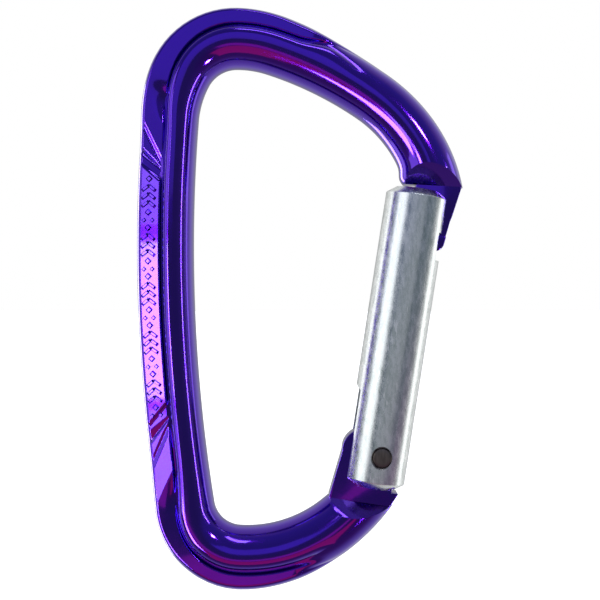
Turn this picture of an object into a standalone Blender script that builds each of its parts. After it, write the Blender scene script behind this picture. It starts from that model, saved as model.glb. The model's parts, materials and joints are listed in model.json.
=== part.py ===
"""Keylock climbing carabiner: a forged body, a solid gate, its rivet, plunger and spring.

Metres, +Z up. The loop lies in the XZ plane, the bar's thickness runs along Y and the gate is on
the +X side. The origin is the bearing point of the top basket, at mid-thickness. The gate frame
has its origin on the rivet: its Z runs up the gate, and its X points out of the loop.
"""
import math

import bmesh
import bpy
from mathutils import Vector

MM = 0.001

# Bearing edge of the loop, from the nose round to the hinge: length along the edge and turn.
# The top basket is where the crown ends and the corner begins.
EDGE_ARCS = {
    "stub": (3.6 * MM, math.radians(10.0)),
    "nose": (14.5 * MM, math.radians(40.5)),
    "arm": (16.9 * MM, math.radians(16.2)),
    "crown": (5.1 * MM, math.radians(17.9)),
    "corner": (5.7 * MM, math.radians(61.8)),
    "shoulder": (6.2 * MM, math.radians(23.7)),
    "spine": (64.5 * MM, math.radians(13.7)),
    "heel": (6.3 * MM, math.radians(77.4)),
    "foot": (14.0 * MM, math.radians(39.7)),
    "hinge": (9.6 * MM, math.radians(24.0)),
}
BASKET_ARC = "corner"
BAR_THICKNESS = 10.0 * MM
STEP_TURN = math.radians(8.0)
STEP_LENGTH = 4.2 * MM
OUTLINE_STEPS = 12

# Forged section of the bar at places along the edge: arc, share of that arc, then the bar's width,
# how far it is forged (0 is a round bar), the bead's width, the flange's start and its edge radius.
SECTIONS = (
    ("stub", 0.0, 9.4 * MM, 0.0, 6.3 * MM, 7.4 * MM, 2.0 * MM),
    ("nose", 0.0, 9.35 * MM, 0.0, 6.3 * MM, 7.4 * MM, 2.0 * MM),
    ("nose", 1.0, 8.9 * MM, 0.0, 6.3 * MM, 7.3 * MM, 2.0 * MM),
    ("arm", 0.3, 9.0 * MM, 0.0, 6.3 * MM, 7.3 * MM, 2.0 * MM),
    ("arm", 0.75, 9.7 * MM, 1.0, 6.2 * MM, 7.4 * MM, 2.0 * MM),
    ("crown", 1.0, 10.15 * MM, 1.0, 6.3 * MM, 7.4 * MM, 2.0 * MM),
    ("corner", 1.0, 10.25 * MM, 1.0, 6.2 * MM, 7.0 * MM, 1.8 * MM),
    ("shoulder", 1.0, 9.7 * MM, 1.0, 5.6 * MM, 6.4 * MM, 1.2 * MM),
    ("spine", 0.1, 9.5 * MM, 1.0, 5.2 * MM, 5.8 * MM, 0.9 * MM),
    ("spine", 0.5, 9.5 * MM, 1.0, 5.2 * MM, 5.8 * MM, 0.9 * MM),
    ("spine", 0.86, 9.6 * MM, 1.0, 5.4 * MM, 6.0 * MM, 0.9 * MM),
    ("spine", 1.0, 10.05 * MM, 1.0, 6.2 * MM, 6.9 * MM, 1.2 * MM),
    ("heel", 0.5, 10.4 * MM, 1.0, 6.9 * MM, 7.7 * MM, 2.0 * MM),
    ("heel", 1.0, 10.7 * MM, 1.0, 7.0 * MM, 7.9 * MM, 2.0 * MM),
    ("foot", 0.45, 10.25 * MM, 1.0, 7.0 * MM, 7.9 * MM, 2.0 * MM),
    ("foot", 0.9, 9.55 * MM, 0.0, 6.6 * MM, 7.6 * MM, 2.0 * MM),
    ("hinge", 1.0, 9.3 * MM, 0.0, 6.3 * MM, 7.3 * MM, 2.0 * MM),
)
BEAD_CREST = 0.72
BEAD_INSIDE_STEP = 18.0
BEAD_OUTSIDE_STEP = 30.0
ROUND_STEP = 10.0
FLOOR_THICKNESS = 5.4 * MM
FLANGE_THICKNESS = 6.8 * MM
FLANGE_RAMP = 0.4 * MM

# Rivet, measured from the end of the foot arc: ahead along the edge, and into the loop.
RIVET_AHEAD = 13.2 * MM
RIVET_INSIDE = 0.2 * MM
RIVET_RADIUS = 1.62 * MM
RIVET_RECESS = 0.2 * MM
RIVET_EDGE = 0.25 * MM
RIVET_GAP_IN_TAB = 0.08 * MM
RIVET_GAP_IN_GATE = 0.05 * MM
RIVET_SIDES = 32

# Gate: its axis passes inside the rivet and meets the nose this far out from the loop's edge.
GATE_RADIUS = 5.25 * MM
GATE_AXIS_INSIDE = 0.54 * MM
GATE_AIM_OUT = 2.5 * MM
GATE_BELOW_RIVET = 5.45 * MM
GATE_CHAMFER = 1.15 * MM
GATE_CHAMFER_WIDTH = 1.6 * MM
GATE_SIDES = 48
OPEN_ANGLE = math.radians(28.0)

# Nose: two milled slopes leave a blade that carries a cross-bar, the key, at its tip.
# Heights in the gate frame are measured down from the shoulder, where the slopes reach the blade.
SHOULDER_GAP = 0.32 * MM
SHOULDER_BELOW_AIM = 0.6 * MM
SHOULDER_TILT = math.radians(5.7)
NOSE_SLOPE = math.radians(47.0)
MILL_LAP = 0.05 * MM
BLADE_THICKNESS = 3.5 * MM
BLADE_INSIDE = 1.1 * MM
BLADE_LENGTH = 10.6 * MM
BLADE_ROOT = 3.4 * MM
BLADE_WAIST_HEIGHT = 4.2 * MM
BLADE_WAIST_INSET = 0.2 * MM
BLADE_FLARE_HEIGHT = 6.2 * MM
BLADE_FLARE_OUT = 0.15 * MM
KEY_HEIGHT = 2.7 * MM
KEY_WING = 0.9 * MM
KEY_THICKNESS = BLADE_THICKNESS + 2.0 * KEY_WING
KEY_OUT = 5.5 * MM
KEY_PROUD = 0.05 * MM
KEY_TIP_RADIUS = 1.6 * MM
KEY_TIP_INSET = 0.6 * MM
KEY_TOP_INSET = 0.4 * MM
KEY_ROOM_ABOVE = 0.4 * MM
KEY_ROOM_BELOW = 1.5 * MM
OUTER_EDGE_INSET = 0.45 * MM

# Hinge: a tab stands up inside the gate, round on the inside and with a cam on top.
TAB_THICKNESS = 4.6 * MM
TAB_REACH = 6.6 * MM
TAB_CORNER_RADIUS = 3.65 * MM
TAB_CORNER_HEIGHT = 0.5 * MM
TAB_SPREAD = 1.0 * MM
TAB_OUT = 2.6 * MM
TAB_SHOULDER = 8.05 * MM
TAB_SHOULDER_LAP = 0.1 * MM
TAB_ROOT = 1.6 * MM
TAB_ROOT_SPREAD = 0.3 * MM
HINGE_MILL_LENGTH = 29.4 * MM
TAB_SLOPE = math.radians(43.0)
CAM_TILT = math.radians(20.0)
TAB_GAP = 0.36 * MM
SIDE_GAP = 0.3 * MM

# Slot for the tab, the spring bore above it, and what sits in the bore.
POCKET_TOP = 8.0 * MM
POCKET_CORNER = 2.0 * MM
POCKET_TOP_INSIDE = 11.2 * MM
POCKET_RUN_OUT = 1.6 * MM
CUTTER_REACH = 2.0 * MM
BORE_RADIUS = 2.5 * MM
BORE_TOP = 26.0 * MM
BORE_GAP = 0.3 * MM
PLUNGER_RADIUS = BORE_RADIUS - BORE_GAP
PLUNGER_TIP = 1.0 * MM
PLUNGER_SHOULDER = 13.0 * MM
PLUNGER_CONE_TOP = 8.6 * MM
PLUNGER_STEM = 2.4 * MM
SPRING_WIRE = 0.3 * MM
SPRING_RADIUS = PLUNGER_RADIUS - 1.5 * SPRING_WIRE
STEM_GAP = 0.35 * MM
PLUNGER_STEM_RADIUS = SPRING_RADIUS - SPRING_WIRE - STEM_GAP
SPRING_CLOSED_PITCH = 2.3 * SPRING_WIRE
SPRING_TURNS = 8
SPRING_STEPS = 14

COLOURS = {
    "body": ((0.045, 0.005, 0.26, 1.0), 1.0, 0.12),
    "gate": ((0.78, 0.79, 0.80, 1.0), 1.0, 0.28),
    "hinge_rivet": ((0.16, 0.14, 0.13, 1.0), 1.0, 0.35),
    "plunger": ((0.62, 0.63, 0.65, 1.0), 1.0, 0.3),
    "gate_spring": ((0.35, 0.35, 0.37, 1.0), 1.0, 0.3),
}


def collection(name):
    made = bpy.data.collections.new(name)
    bpy.context.scene.collection.children.link(made)
    return made


def clear_scene():
    for old in list(bpy.data.objects):
        bpy.data.objects.remove(old)


# ---------------------------------------------------------------- edge of the loop

def edge_length():
    return sum(length for length, _ in EDGE_ARCS.values())


def distance_at(arc, share):
    """Distance along the edge, from the nose, of a place given as a share of one arc."""
    total = 0.0
    for name, (length, _) in EDGE_ARCS.items():
        if name == arc:
            return total + share * length
        total += length
    raise ValueError(arc)


def walk(distance):
    """Point and heading after walking along the edge from a nose at the origin."""
    basket_turn = 0.0
    for name, (_, turn) in EDGE_ARCS.items():
        if name == BASKET_ARC:
            break
        basket_turn += turn
    point = Vector((0.0, 0.0))
    heading = math.pi - basket_turn
    for length, turn in EDGE_ARCS.values():
        step = min(max(distance, 0.0), length)
        swept = turn * step / length
        chord = 2.0 * length / turn * math.sin(swept / 2.0)
        middle = heading + swept / 2.0
        point += chord * Vector((math.cos(middle), math.sin(middle)))
        heading += swept
        distance -= length
        if distance <= 0.0:
            break
    return point, heading


def edge_at(distance):
    """Point on the bearing edge, its heading, and the direction out of the loop."""
    basket, _ = walk(distance_at(BASKET_ARC, 0.0))
    point, heading = walk(distance)
    outward = Vector((math.sin(heading), -math.cos(heading)))
    return point - basket, heading, outward


def edge_steps():
    """Distances of the sections: close together where the edge turns, wider where it runs."""
    places = [0.0]
    start = 0.0
    for length, turn in EDGE_ARCS.values():
        count = max(math.ceil(turn / STEP_TURN), math.ceil(length / STEP_LENGTH))
        places += [start + length * k / count for k in range(1, count + 1)]
        start += length
    return places


# ---------------------------------------------------------------- section of the bar

def section_sizes(distance):
    """Section values at a distance, from a smooth curve through the table's rows."""
    rows = [(distance_at(row[0], row[1]),) + row[2:] for row in SECTIONS]
    last = len(rows) - 1
    k = 0
    while k < last - 1 and distance > rows[k + 1][0]:
        k += 1
    low, high = rows[k], rows[k + 1]
    before, after = rows[max(k - 1, 0)], rows[min(k + 2, last)]
    span = high[0] - low[0]
    t = min(max((distance - low[0]) / span, 0.0), 1.0)
    sizes = []
    for i in range(1, len(low)):
        slope_low = (high[i] - before[i]) / (high[0] - before[0])
        slope_high = (after[i] - low[i]) / (after[0] - low[0])
        if (low[i] - before[i]) * (high[i] - low[i]) <= 0.0:
            slope_low = 0.0
        if (after[i] - high[i]) * (high[i] - low[i]) <= 0.0:
            slope_high = 0.0
        sizes.append(
            low[i] * (2 * t ** 3 - 3 * t ** 2 + 1)
            + high[i] * (3 * t ** 2 - 2 * t ** 3)
            + span * slope_low * (t ** 3 - 2 * t ** 2 + t)
            + span * slope_high * (t ** 3 - t ** 2)
        )
    return sizes


def half_section(distance):
    """Front half of the section: (out from the loop's edge, height above mid-thickness)."""
    width, forged, bead, flange, edge_radius = section_sizes(distance)
    crest_height = BAR_THICKNESS / 2.0
    floor = FLOOR_THICKNESS / 2.0
    top = FLANGE_THICKNESS / 2.0
    crest = BEAD_CREST * bead
    shaped = []
    for k in range(6):
        angle = math.radians(BEAD_INSIDE_STEP * k)
        shaped.append((crest * (1.0 - math.cos(angle)), crest_height * math.sin(angle)))
    for k in range(1, 4):
        angle = math.radians(BEAD_OUTSIDE_STEP * k)
        reach = (bead - crest) * math.sin(angle)
        shaped.append((crest + reach, floor + (crest_height - floor) * math.cos(angle)))
    shaped.append((flange, floor))
    shaped.append((flange + FLANGE_RAMP, top))
    for k in range(4):
        angle = math.radians(BEAD_OUTSIDE_STEP * k)
        shaped.append((width - edge_radius * (1.0 - math.sin(angle)), top * math.cos(angle)))
    round_angles = [BEAD_INSIDE_STEP * k for k in range(6)]
    round_angles += [90.0 + ROUND_STEP * k for k in range(1, 10)]
    half = []
    for (out, height), degrees in zip(shaped, round_angles):
        angle = math.radians(degrees)
        round_out = width / 2.0 * (1.0 - math.cos(angle))
        round_height = crest_height * math.sin(angle)
        half.append((round_out + forged * (out - round_out),
                     round_height + forged * (height - round_height)))
    half[0] = (0.0, 0.0)
    half[-1] = (width, 0.0)
    return half


def section_ring(distance):
    """The whole section as points in space, front half first."""
    point, _, outward = edge_at(distance)
    half = half_section(distance)
    flat = [(out, -height) for out, height in half]
    flat += [(out, height) for out, height in reversed(half[1:-1])]
    return [(point.x + outward.x * out, y, point.y + outward.y * out) for out, y in flat]


# ---------------------------------------------------------------- building helpers

def finish(obj, group, smooth_angle=35.0):
    group.objects.link(obj)
    obj.data.shade_smooth()
    obj.data.set_sharp_from_angle(angle=math.radians(smooth_angle))
    return obj


def add_material(obj):
    colour, metallic, roughness = COLOURS[obj.name]
    material = bpy.data.materials.new(obj.name)
    material.use_nodes = True
    shader = material.node_tree.nodes["Principled BSDF"]
    shader.inputs["Base Color"].default_value = colour
    shader.inputs["Metallic"].default_value = metallic
    shader.inputs["Roughness"].default_value = roughness
    material.diffuse_color = colour
    obj.data.materials.append(material)


def loft(name, rings, group):
    """A closed solid through rings of equal length, with a flat face at each end."""
    mesh = bmesh.new()
    rows = [[mesh.verts.new(point) for point in ring] for ring in rings]
    count = len(rows[0])
    for near, far in zip(rows, rows[1:]):
        for k in range(count):
            after = (k + 1) % count
            mesh.faces.new((near[k], near[after], far[after], far[k]))
    mesh.faces.new(list(reversed(rows[0])))
    mesh.faces.new(rows[-1])
    bmesh.ops.recalc_face_normals(mesh, faces=mesh.faces)
    data = bpy.data.meshes.new(name)
    mesh.to_mesh(data)
    mesh.free()
    return finish(bpy.data.objects.new(name, data), group)


def plate(name, outline, thickness, group, parent=None):
    """A flat plate in the XZ plane, from a closed outline, centred on mid-thickness."""
    curve = bpy.data.curves.new(name, "CURVE")
    curve.dimensions = "2D"
    curve.fill_mode = "BOTH"
    curve.extrude = thickness / 2.0
    spline = curve.splines.new("POLY")
    spline.points.add(len(outline) - 1)
    for point, (x, z) in zip(spline.points, outline):
        point.co = (x, z, 0.0, 1.0)
    spline.use_cyclic_u = True
    drawn = bpy.data.objects.new(name + "_outline", curve)
    bpy.context.scene.collection.objects.link(drawn)
    bpy.context.view_layer.update()
    data = bpy.data.meshes.new_from_object(drawn.evaluated_get(bpy.context.evaluated_depsgraph_get()))
    bpy.data.objects.remove(drawn)
    mesh = bmesh.new()
    mesh.from_mesh(data)
    bmesh.ops.remove_doubles(mesh, verts=mesh.verts, dist=0.001 * MM)
    for vert in mesh.verts:
        vert.co = Vector((vert.co.x, -vert.co.z, vert.co.y))
    bmesh.ops.recalc_face_normals(mesh, faces=mesh.faces)
    mesh.to_mesh(data)
    mesh.free()
    data.name = name
    obj = finish(bpy.data.objects.new(name, data), group)
    obj.parent = parent
    return obj


def prism(name, profile, length, group, parent=None):
    """A bar along X with a closed (y, z) profile, centred on its length."""
    mesh = bmesh.new()
    corners = [mesh.verts.new((-length / 2.0, y, z)) for y, z in profile]
    face = mesh.faces.new(corners)
    grown = bmesh.ops.extrude_face_region(mesh, geom=[face])
    moved = [item for item in grown["geom"] if isinstance(item, bmesh.types.BMVert)]
    bmesh.ops.translate(mesh, verts=moved, vec=(length, 0.0, 0.0))
    bmesh.ops.recalc_face_normals(mesh, faces=mesh.faces)
    data = bpy.data.meshes.new(name)
    mesh.to_mesh(data)
    mesh.free()
    obj = finish(bpy.data.objects.new(name, data), group)
    obj.parent = parent
    return obj


def turned(name, profile, group, parent=None, sides=GATE_SIDES):
    """A turned piece round Z: its (radius, height) profile runs from the top to the bottom."""
    data = bpy.data.meshes.new(name)
    data.from_pydata([(radius, 0.0, height) for radius, height in profile],
                     [(k, k + 1) for k in range(len(profile) - 1)], [])
    obj = bpy.data.objects.new(name, data)
    group.objects.link(obj)
    obj.parent = parent
    screw = obj.modifiers.new("turn", "SCREW")
    screw.axis = "Z"
    screw.steps = sides
    screw.render_steps = sides
    screw.use_merge_vertices = True
    screw.merge_threshold = 0.001 * MM
    screw.use_smooth_shade = True
    return obj


def box(name, low, high, group, parent=None):
    """A box between two corners."""
    mesh = bmesh.new()
    bmesh.ops.create_cube(mesh, size=1.0)
    size = Vector(high) - Vector(low)
    bmesh.ops.scale(mesh, verts=mesh.verts, vec=size)
    bmesh.ops.translate(mesh, verts=mesh.verts, vec=(Vector(low) + Vector(high)) / 2.0)
    data = bpy.data.meshes.new(name)
    mesh.to_mesh(data)
    mesh.free()
    obj = finish(bpy.data.objects.new(name, data), group)
    obj.parent = parent
    return obj


def join_with(obj, other, operation):
    change = obj.modifiers.new(other.name, "BOOLEAN")
    change.operation = operation
    change.solver = "EXACT"
    change.object = other
    other.hide_render = True
    other.display_type = "WIRE"


def arc(centre, radius, start, end, count):
    """Points on an arc, from one angle to another in degrees."""
    angles = [math.radians(start + (end - start) * k / count) for k in range(count + 1)]
    return [(centre[0] + radius * math.cos(a), centre[1] + radius * math.sin(a)) for a in angles]


# ---------------------------------------------------------------- places that the pieces share

def rivet_place():
    """Rivet centre in the loop's plane."""
    foot_end, heading, outward = edge_at(distance_at("hinge", 0.0))
    ahead = Vector((math.cos(heading), math.sin(heading)))
    return foot_end + RIVET_AHEAD * ahead - RIVET_INSIDE * outward


def gate_lean_and_reach():
    """Lean of the gate from upright, and the height of its aim point above the rivet."""
    nose, _, outward = edge_at(distance_at("nose", 0.0))
    reach = nose + GATE_AIM_OUT * outward - rivet_place()
    lean = math.atan2(reach.x, reach.y) + math.asin(GATE_AXIS_INSIDE / reach.length)
    return lean, math.sqrt(reach.length ** 2 - GATE_AXIS_INSIDE ** 2)


def gate_frame(point):
    """A point of the loop's plane in the gate frame: out of the loop, and up the gate."""
    lean, _ = gate_lean_and_reach()
    offset = point - rivet_place()
    return Vector((
        offset.x * math.cos(lean) - offset.y * math.sin(lean),
        offset.x * math.sin(lean) + offset.y * math.cos(lean),
    ))


def bar_outside(arc_name, low, high):
    """Outer edge of the bar along one arc in the gate frame, between two heights, going down."""
    points = []
    for k in range(OUTLINE_STEPS + 1):
        distance = distance_at(arc_name, k / OUTLINE_STEPS)
        point, _, outward = edge_at(distance)
        width = section_sizes(distance)[0]
        place = gate_frame(point + (width - OUTER_EDGE_INSET) * outward)
        if low <= place.y <= high:
            points.append((place.x, place.y))
    return sorted(points, key=lambda place: -place[1])


def shoulder_height():
    """Height of the nose shoulder over the gate's axis, in the gate frame."""
    _, reach = gate_lean_and_reach()
    return reach - SHOULDER_BELOW_AIM


def gate_top():
    """Height of the gate's top end: below the lowest, inner end of the shoulder."""
    inner_end = gate_frame(edge_at(distance_at("nose", 0.0))[0]).x
    drop = (GATE_AXIS_INSIDE + abs(inner_end)) * math.tan(SHOULDER_TILT)
    return shoulder_height() - drop - SHOULDER_GAP


def blade_tip():
    """Height of the blade's tip, in the gate frame."""
    return shoulder_height() - BLADE_LENGTH


# ---------------------------------------------------------------- body

def milling_profile(half_blade, slope, depth):
    """Everything beyond a shoulder: a flat under the blade, and a slope on each side of it."""
    reach = BAR_THICKNESS
    rise = (reach - half_blade) * math.tan(slope)
    return [(-reach, rise), (-half_blade, 0.0), (half_blade, 0.0), (reach, rise),
            (reach, -depth), (-reach, -depth)]


def key_tip_centre():
    """Centre of the round outer corner at the blade's tip, in the gate frame."""
    return KEY_OUT - KEY_TIP_INSET - KEY_TIP_RADIUS, blade_tip() + KEY_TIP_RADIUS


def blade_outline():
    """Nose blade in the gate frame, from its tip up into the bar."""
    tip = blade_tip()
    shoulder = shoulder_height()
    bar_out = bar_outside("stub", shoulder + SHOULDER_GAP, shoulder + BLADE_ROOT)
    outline = [(-BLADE_INSIDE, shoulder + BLADE_ROOT), (-BLADE_INSIDE, tip)]
    outline += arc(key_tip_centre(), KEY_TIP_RADIUS, -90.0, -10.0, 6)
    outline.append((KEY_OUT - BLADE_WAIST_INSET, tip + BLADE_WAIST_HEIGHT))
    outline.append((KEY_OUT + BLADE_FLARE_OUT, tip + BLADE_FLARE_HEIGHT))
    outline += list(reversed(bar_out))
    outline.append((bar_out[0][0] - BLADE_ROOT / 2.0, shoulder + BLADE_ROOT))
    return outline


def key_outline():
    """The cross-bar: the blade's tip, up to the key's height, and just proud of the blade."""
    tip = blade_tip()
    inside = -BLADE_INSIDE - KEY_PROUD
    outline = [(inside, tip + KEY_HEIGHT), (inside, tip - KEY_PROUD)]
    outline += arc(key_tip_centre(), KEY_TIP_RADIUS + KEY_PROUD, -90.0, -10.0, 6)
    outline.append((KEY_OUT - KEY_TOP_INSET, tip + KEY_HEIGHT))
    return outline


def tab_corner():
    """Centre of the tab's round inner corner, in the gate frame."""
    return Vector((TAB_CORNER_RADIUS - TAB_REACH, TAB_CORNER_HEIGHT))


def cam_distance():
    """Distance of the cam line from the rivet: the line touches the tab's round corner."""
    corner = tab_corner()
    return corner.x * math.sin(CAM_TILT) + corner.y * math.cos(CAM_TILT) + TAB_CORNER_RADIUS


def tab_outline():
    """Hinge tab in the gate frame: cam on top, round inside, an ear outside below the gate."""
    # The cam line runs out to the facet that lies along the gate's wall when the gate is open.
    facet = Vector((math.cos(OPEN_ANGLE), math.sin(OPEN_ANGLE)))
    cam = Vector((math.sin(CAM_TILT), math.cos(CAM_TILT)))
    scale = facet.x * cam.y - facet.y * cam.x
    stop_height = TAB_OUT * (1.0 - math.cos(OPEN_ANGLE)) / math.sin(OPEN_ANGLE)
    ear_top = -GATE_BELOW_RIVET - TAB_GAP
    root = -TAB_SHOULDER - TAB_ROOT
    ear = bar_outside("hinge", root, ear_top)
    outline = [((TAB_OUT * cam.y - cam_distance() * facet.y) / scale,
                (cam_distance() * facet.x - TAB_OUT * cam.x) / scale)]
    outline += arc(tab_corner(), TAB_CORNER_RADIUS, 90.0 - math.degrees(CAM_TILT), 189.0, 10)
    outline.append((-TAB_REACH - TAB_SPREAD, -TAB_SHOULDER + TAB_SHOULDER_LAP))
    outline.append((-TAB_REACH - TAB_ROOT_SPREAD, root))
    outline.append((ear[-1][0] - TAB_ROOT, root))
    outline += list(reversed(ear))
    outline.append((ear[0][0], ear_top))
    outline.append((TAB_OUT, ear_top))
    outline.append((TAB_OUT, stop_height))
    return outline


def make_body(parts, cutters, pivot):
    body = loft("body", [section_ring(place) for place in edge_steps()], parts)
    length = 4.0 * GATE_RADIUS
    half_blade = BLADE_THICKNESS / 2.0 - MILL_LAP
    half_tab = TAB_THICKNESS / 2.0 - MILL_LAP
    nose_profile = milling_profile(half_blade, NOSE_SLOPE, length)
    hinge_profile = milling_profile(half_tab, TAB_SLOPE, length)
    nose_mill = prism("nose_mill", nose_profile, length, cutters, pivot)
    nose_mill.location = (-GATE_AXIS_INSIDE, 0.0, shoulder_height())
    nose_mill.rotation_euler = (0.0, -SHOULDER_TILT, 0.0)
    hinge_mill = prism("hinge_mill", hinge_profile, HINGE_MILL_LENGTH, cutters, pivot)
    hinge_mill.location = (0.0, 0.0, -TAB_SHOULDER)
    hinge_mill.rotation_euler = (0.0, math.pi, 0.0)
    blade = plate("nose_blade", blade_outline(), BLADE_THICKNESS, cutters, pivot)
    key = plate("nose_key", key_outline(), KEY_THICKNESS, cutters, pivot)
    tab = plate("hinge_tab", tab_outline(), TAB_THICKNESS, cutters, pivot)
    bore_profile = pin_profile(RIVET_RADIUS + RIVET_GAP_IN_TAB, BAR_THICKNESS)
    bore = turned("tab_bore", bore_profile, cutters, pivot, RIVET_SIDES)
    bore.rotation_euler = (math.pi / 2.0, 0.0, 0.0)
    join_with(body, nose_mill, "DIFFERENCE")
    join_with(body, hinge_mill, "DIFFERENCE")
    join_with(body, blade, "UNION")
    join_with(body, key, "UNION")
    join_with(body, tab, "UNION")
    join_with(body, bore, "DIFFERENCE")
    return body


# ---------------------------------------------------------------- gate and what it carries

def pin_profile(radius, length, edge=0.0):
    """Profile of a plain pin, with an edge chamfer where it has one."""
    half = length / 2.0
    if edge == 0.0:
        return [(0.0, half), (radius, half), (radius, -half), (0.0, -half)]
    return [(0.0, half), (radius - edge, half), (radius, half - edge),
            (radius, edge - half), (radius - edge, -half), (0.0, -half)]


def pocket_outline():
    """Slot for the hinge tab: open below and inside, with a sloped end where the cutter ran in."""
    wall = TAB_OUT + TAB_GAP
    below = -GATE_BELOW_RIVET - CUTTER_REACH
    inside = -GATE_AXIS_INSIDE - GATE_RADIUS
    beyond = inside - CUTTER_REACH
    return [(wall, below), (wall, POCKET_TOP - POCKET_CORNER), (wall - POCKET_CORNER, POCKET_TOP),
            (-GATE_AXIS_INSIDE - BORE_RADIUS, POCKET_TOP), (inside, POCKET_TOP_INSIDE),
            (beyond, POCKET_TOP_INSIDE + POCKET_RUN_OUT), (beyond, below)]


def make_gate(parts, cutters, pivot):
    top = gate_top()
    tip = blade_tip()
    end = GATE_RADIUS - GATE_CHAMFER_WIDTH
    bottom = -GATE_BELOW_RIVET
    profile = [(0.0, top), (end, top), (GATE_RADIUS, top - GATE_CHAMFER),
               (GATE_RADIUS, bottom + GATE_CHAMFER), (end, bottom), (0.0, bottom)]
    gate = turned("gate", profile, parts, pivot)
    gate.location = (-GATE_AXIS_INSIDE, 0.0, 0.0)
    floor = -BLADE_INSIDE - TAB_GAP
    far = 2.0 * GATE_RADIUS
    blade_half = BLADE_THICKNESS / 2.0 + SIDE_GAP
    key_half = KEY_THICKNESS / 2.0 + SIDE_GAP
    key_roof = tip + KEY_HEIGHT + KEY_ROOM_ABOVE
    slot = box("blade_slot", (floor, -blade_half, key_roof - KEY_ROOM_ABOVE),
               (far, blade_half, top + CUTTER_REACH), cutters, pivot)
    room = box("key_room", (floor, -key_half, tip - KEY_ROOM_BELOW),
               (far, key_half, key_roof), cutters, pivot)
    pocket = plate("tab_pocket", pocket_outline(), TAB_THICKNESS + 2.0 * SIDE_GAP, cutters, pivot)
    bore_profile = [(0.0, BORE_TOP), (BORE_RADIUS, BORE_TOP), (BORE_RADIUS, 0.0), (0.0, 0.0)]
    bore = turned("spring_bore", bore_profile, cutters, pivot)
    bore.location = (-GATE_AXIS_INSIDE, 0.0, 0.0)
    hole_profile = pin_profile(RIVET_RADIUS + RIVET_GAP_IN_GATE, 4.0 * GATE_RADIUS)
    hole = turned("rivet_hole", hole_profile, cutters, pivot, RIVET_SIDES)
    hole.rotation_euler = (math.pi / 2.0, 0.0, 0.0)
    for cutter in (slot, room, pocket, bore, hole):
        join_with(gate, cutter, "DIFFERENCE")
    return gate


def make_rivet(parts, pivot):
    length = 2.0 * (math.sqrt(GATE_RADIUS ** 2 - GATE_AXIS_INSIDE ** 2) - RIVET_RECESS)
    profile = pin_profile(RIVET_RADIUS, length, RIVET_EDGE)
    rivet = turned("hinge_rivet", profile, parts, pivot, RIVET_SIDES)
    rivet.rotation_euler = (math.pi / 2.0, 0.0, 0.0)
    return rivet


def tip_height():
    """Height of the centre of the plunger's round tip, where it rests on the cam line."""
    return (cam_distance() + PLUNGER_TIP + GATE_AXIS_INSIDE * math.sin(CAM_TILT)) / math.cos(CAM_TILT)


def make_plunger(parts, pivot):
    centre = tip_height() + SIDE_GAP
    stem_top = PLUNGER_SHOULDER + PLUNGER_STEM
    profile = [(0.0, stem_top), (PLUNGER_STEM_RADIUS, stem_top),
               (PLUNGER_STEM_RADIUS, PLUNGER_SHOULDER), (PLUNGER_RADIUS, PLUNGER_SHOULDER),
               (PLUNGER_RADIUS, PLUNGER_CONE_TOP)]
    profile += arc((0.0, centre), PLUNGER_TIP, -18.0, -90.0, 5)
    profile[-1] = (0.0, centre - PLUNGER_TIP)
    plunger = turned("plunger", profile, parts, pivot, RIVET_SIDES)
    plunger.location = (-GATE_AXIS_INSIDE, 0.0, 0.0)
    return plunger


def make_spring(parts, pivot):
    """Coil between the plunger's shoulder and the end of the bore, with a closed turn at each end."""
    low = PLUNGER_SHOULDER + SPRING_WIRE + SIDE_GAP
    high = BORE_TOP - SPRING_WIRE - SIDE_GAP
    curve = bpy.data.curves.new("gate_spring", "CURVE")
    curve.dimensions = "3D"
    curve.bevel_depth = SPRING_WIRE
    curve.bevel_resolution = 2
    curve.use_fill_caps = True
    spline = curve.splines.new("POLY")
    count = SPRING_TURNS * SPRING_STEPS
    spline.points.add(count)
    for k, point in enumerate(spline.points):
        turns = k / SPRING_STEPS
        angle = 2.0 * math.pi * turns
        if turns < 1.0:
            height = low + SPRING_CLOSED_PITCH * turns
        elif turns > SPRING_TURNS - 1.0:
            height = high - SPRING_CLOSED_PITCH * (SPRING_TURNS - turns)
        else:
            share = (turns - 1.0) / (SPRING_TURNS - 2.0)
            free = high - low - 2.0 * SPRING_CLOSED_PITCH
            height = low + SPRING_CLOSED_PITCH + free * share
        point.co = (SPRING_RADIUS * math.cos(angle), SPRING_RADIUS * math.sin(angle), height, 1.0)
    spring = bpy.data.objects.new("gate_spring", curve)
    parts.objects.link(spring)
    spring.parent = pivot
    spring.location = (-GATE_AXIS_INSIDE, 0.0, 0.0)
    return spring


def main():
    clear_scene()
    parts = collection("carabiner")
    cutters = collection("cutters")
    place = rivet_place()
    lean, _ = gate_lean_and_reach()
    pivot = bpy.data.objects.new("gate_pivot", None)
    parts.objects.link(pivot)
    pivot.location = (place.x, 0.0, place.y)
    pivot.rotation_euler = (0.0, lean, 0.0)
    made = [make_body(parts, cutters, pivot), make_gate(parts, cutters, pivot),
            make_rivet(parts, pivot), make_plunger(parts, pivot), make_spring(parts, pivot)]
    for obj in made:
        add_material(obj)


main()
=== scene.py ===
"""Looks of a keylock climbing carabiner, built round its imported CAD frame.

Metres, +Z up along the loop, +X from the spine to the gate. Positions come from the frame; the
body's edge and sections repeat the rule that its solids were made by, with finer forging on them.
"""

import json
import math

import bmesh
import bpy
import numpy as np
from mathutils import Matrix, Vector


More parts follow.
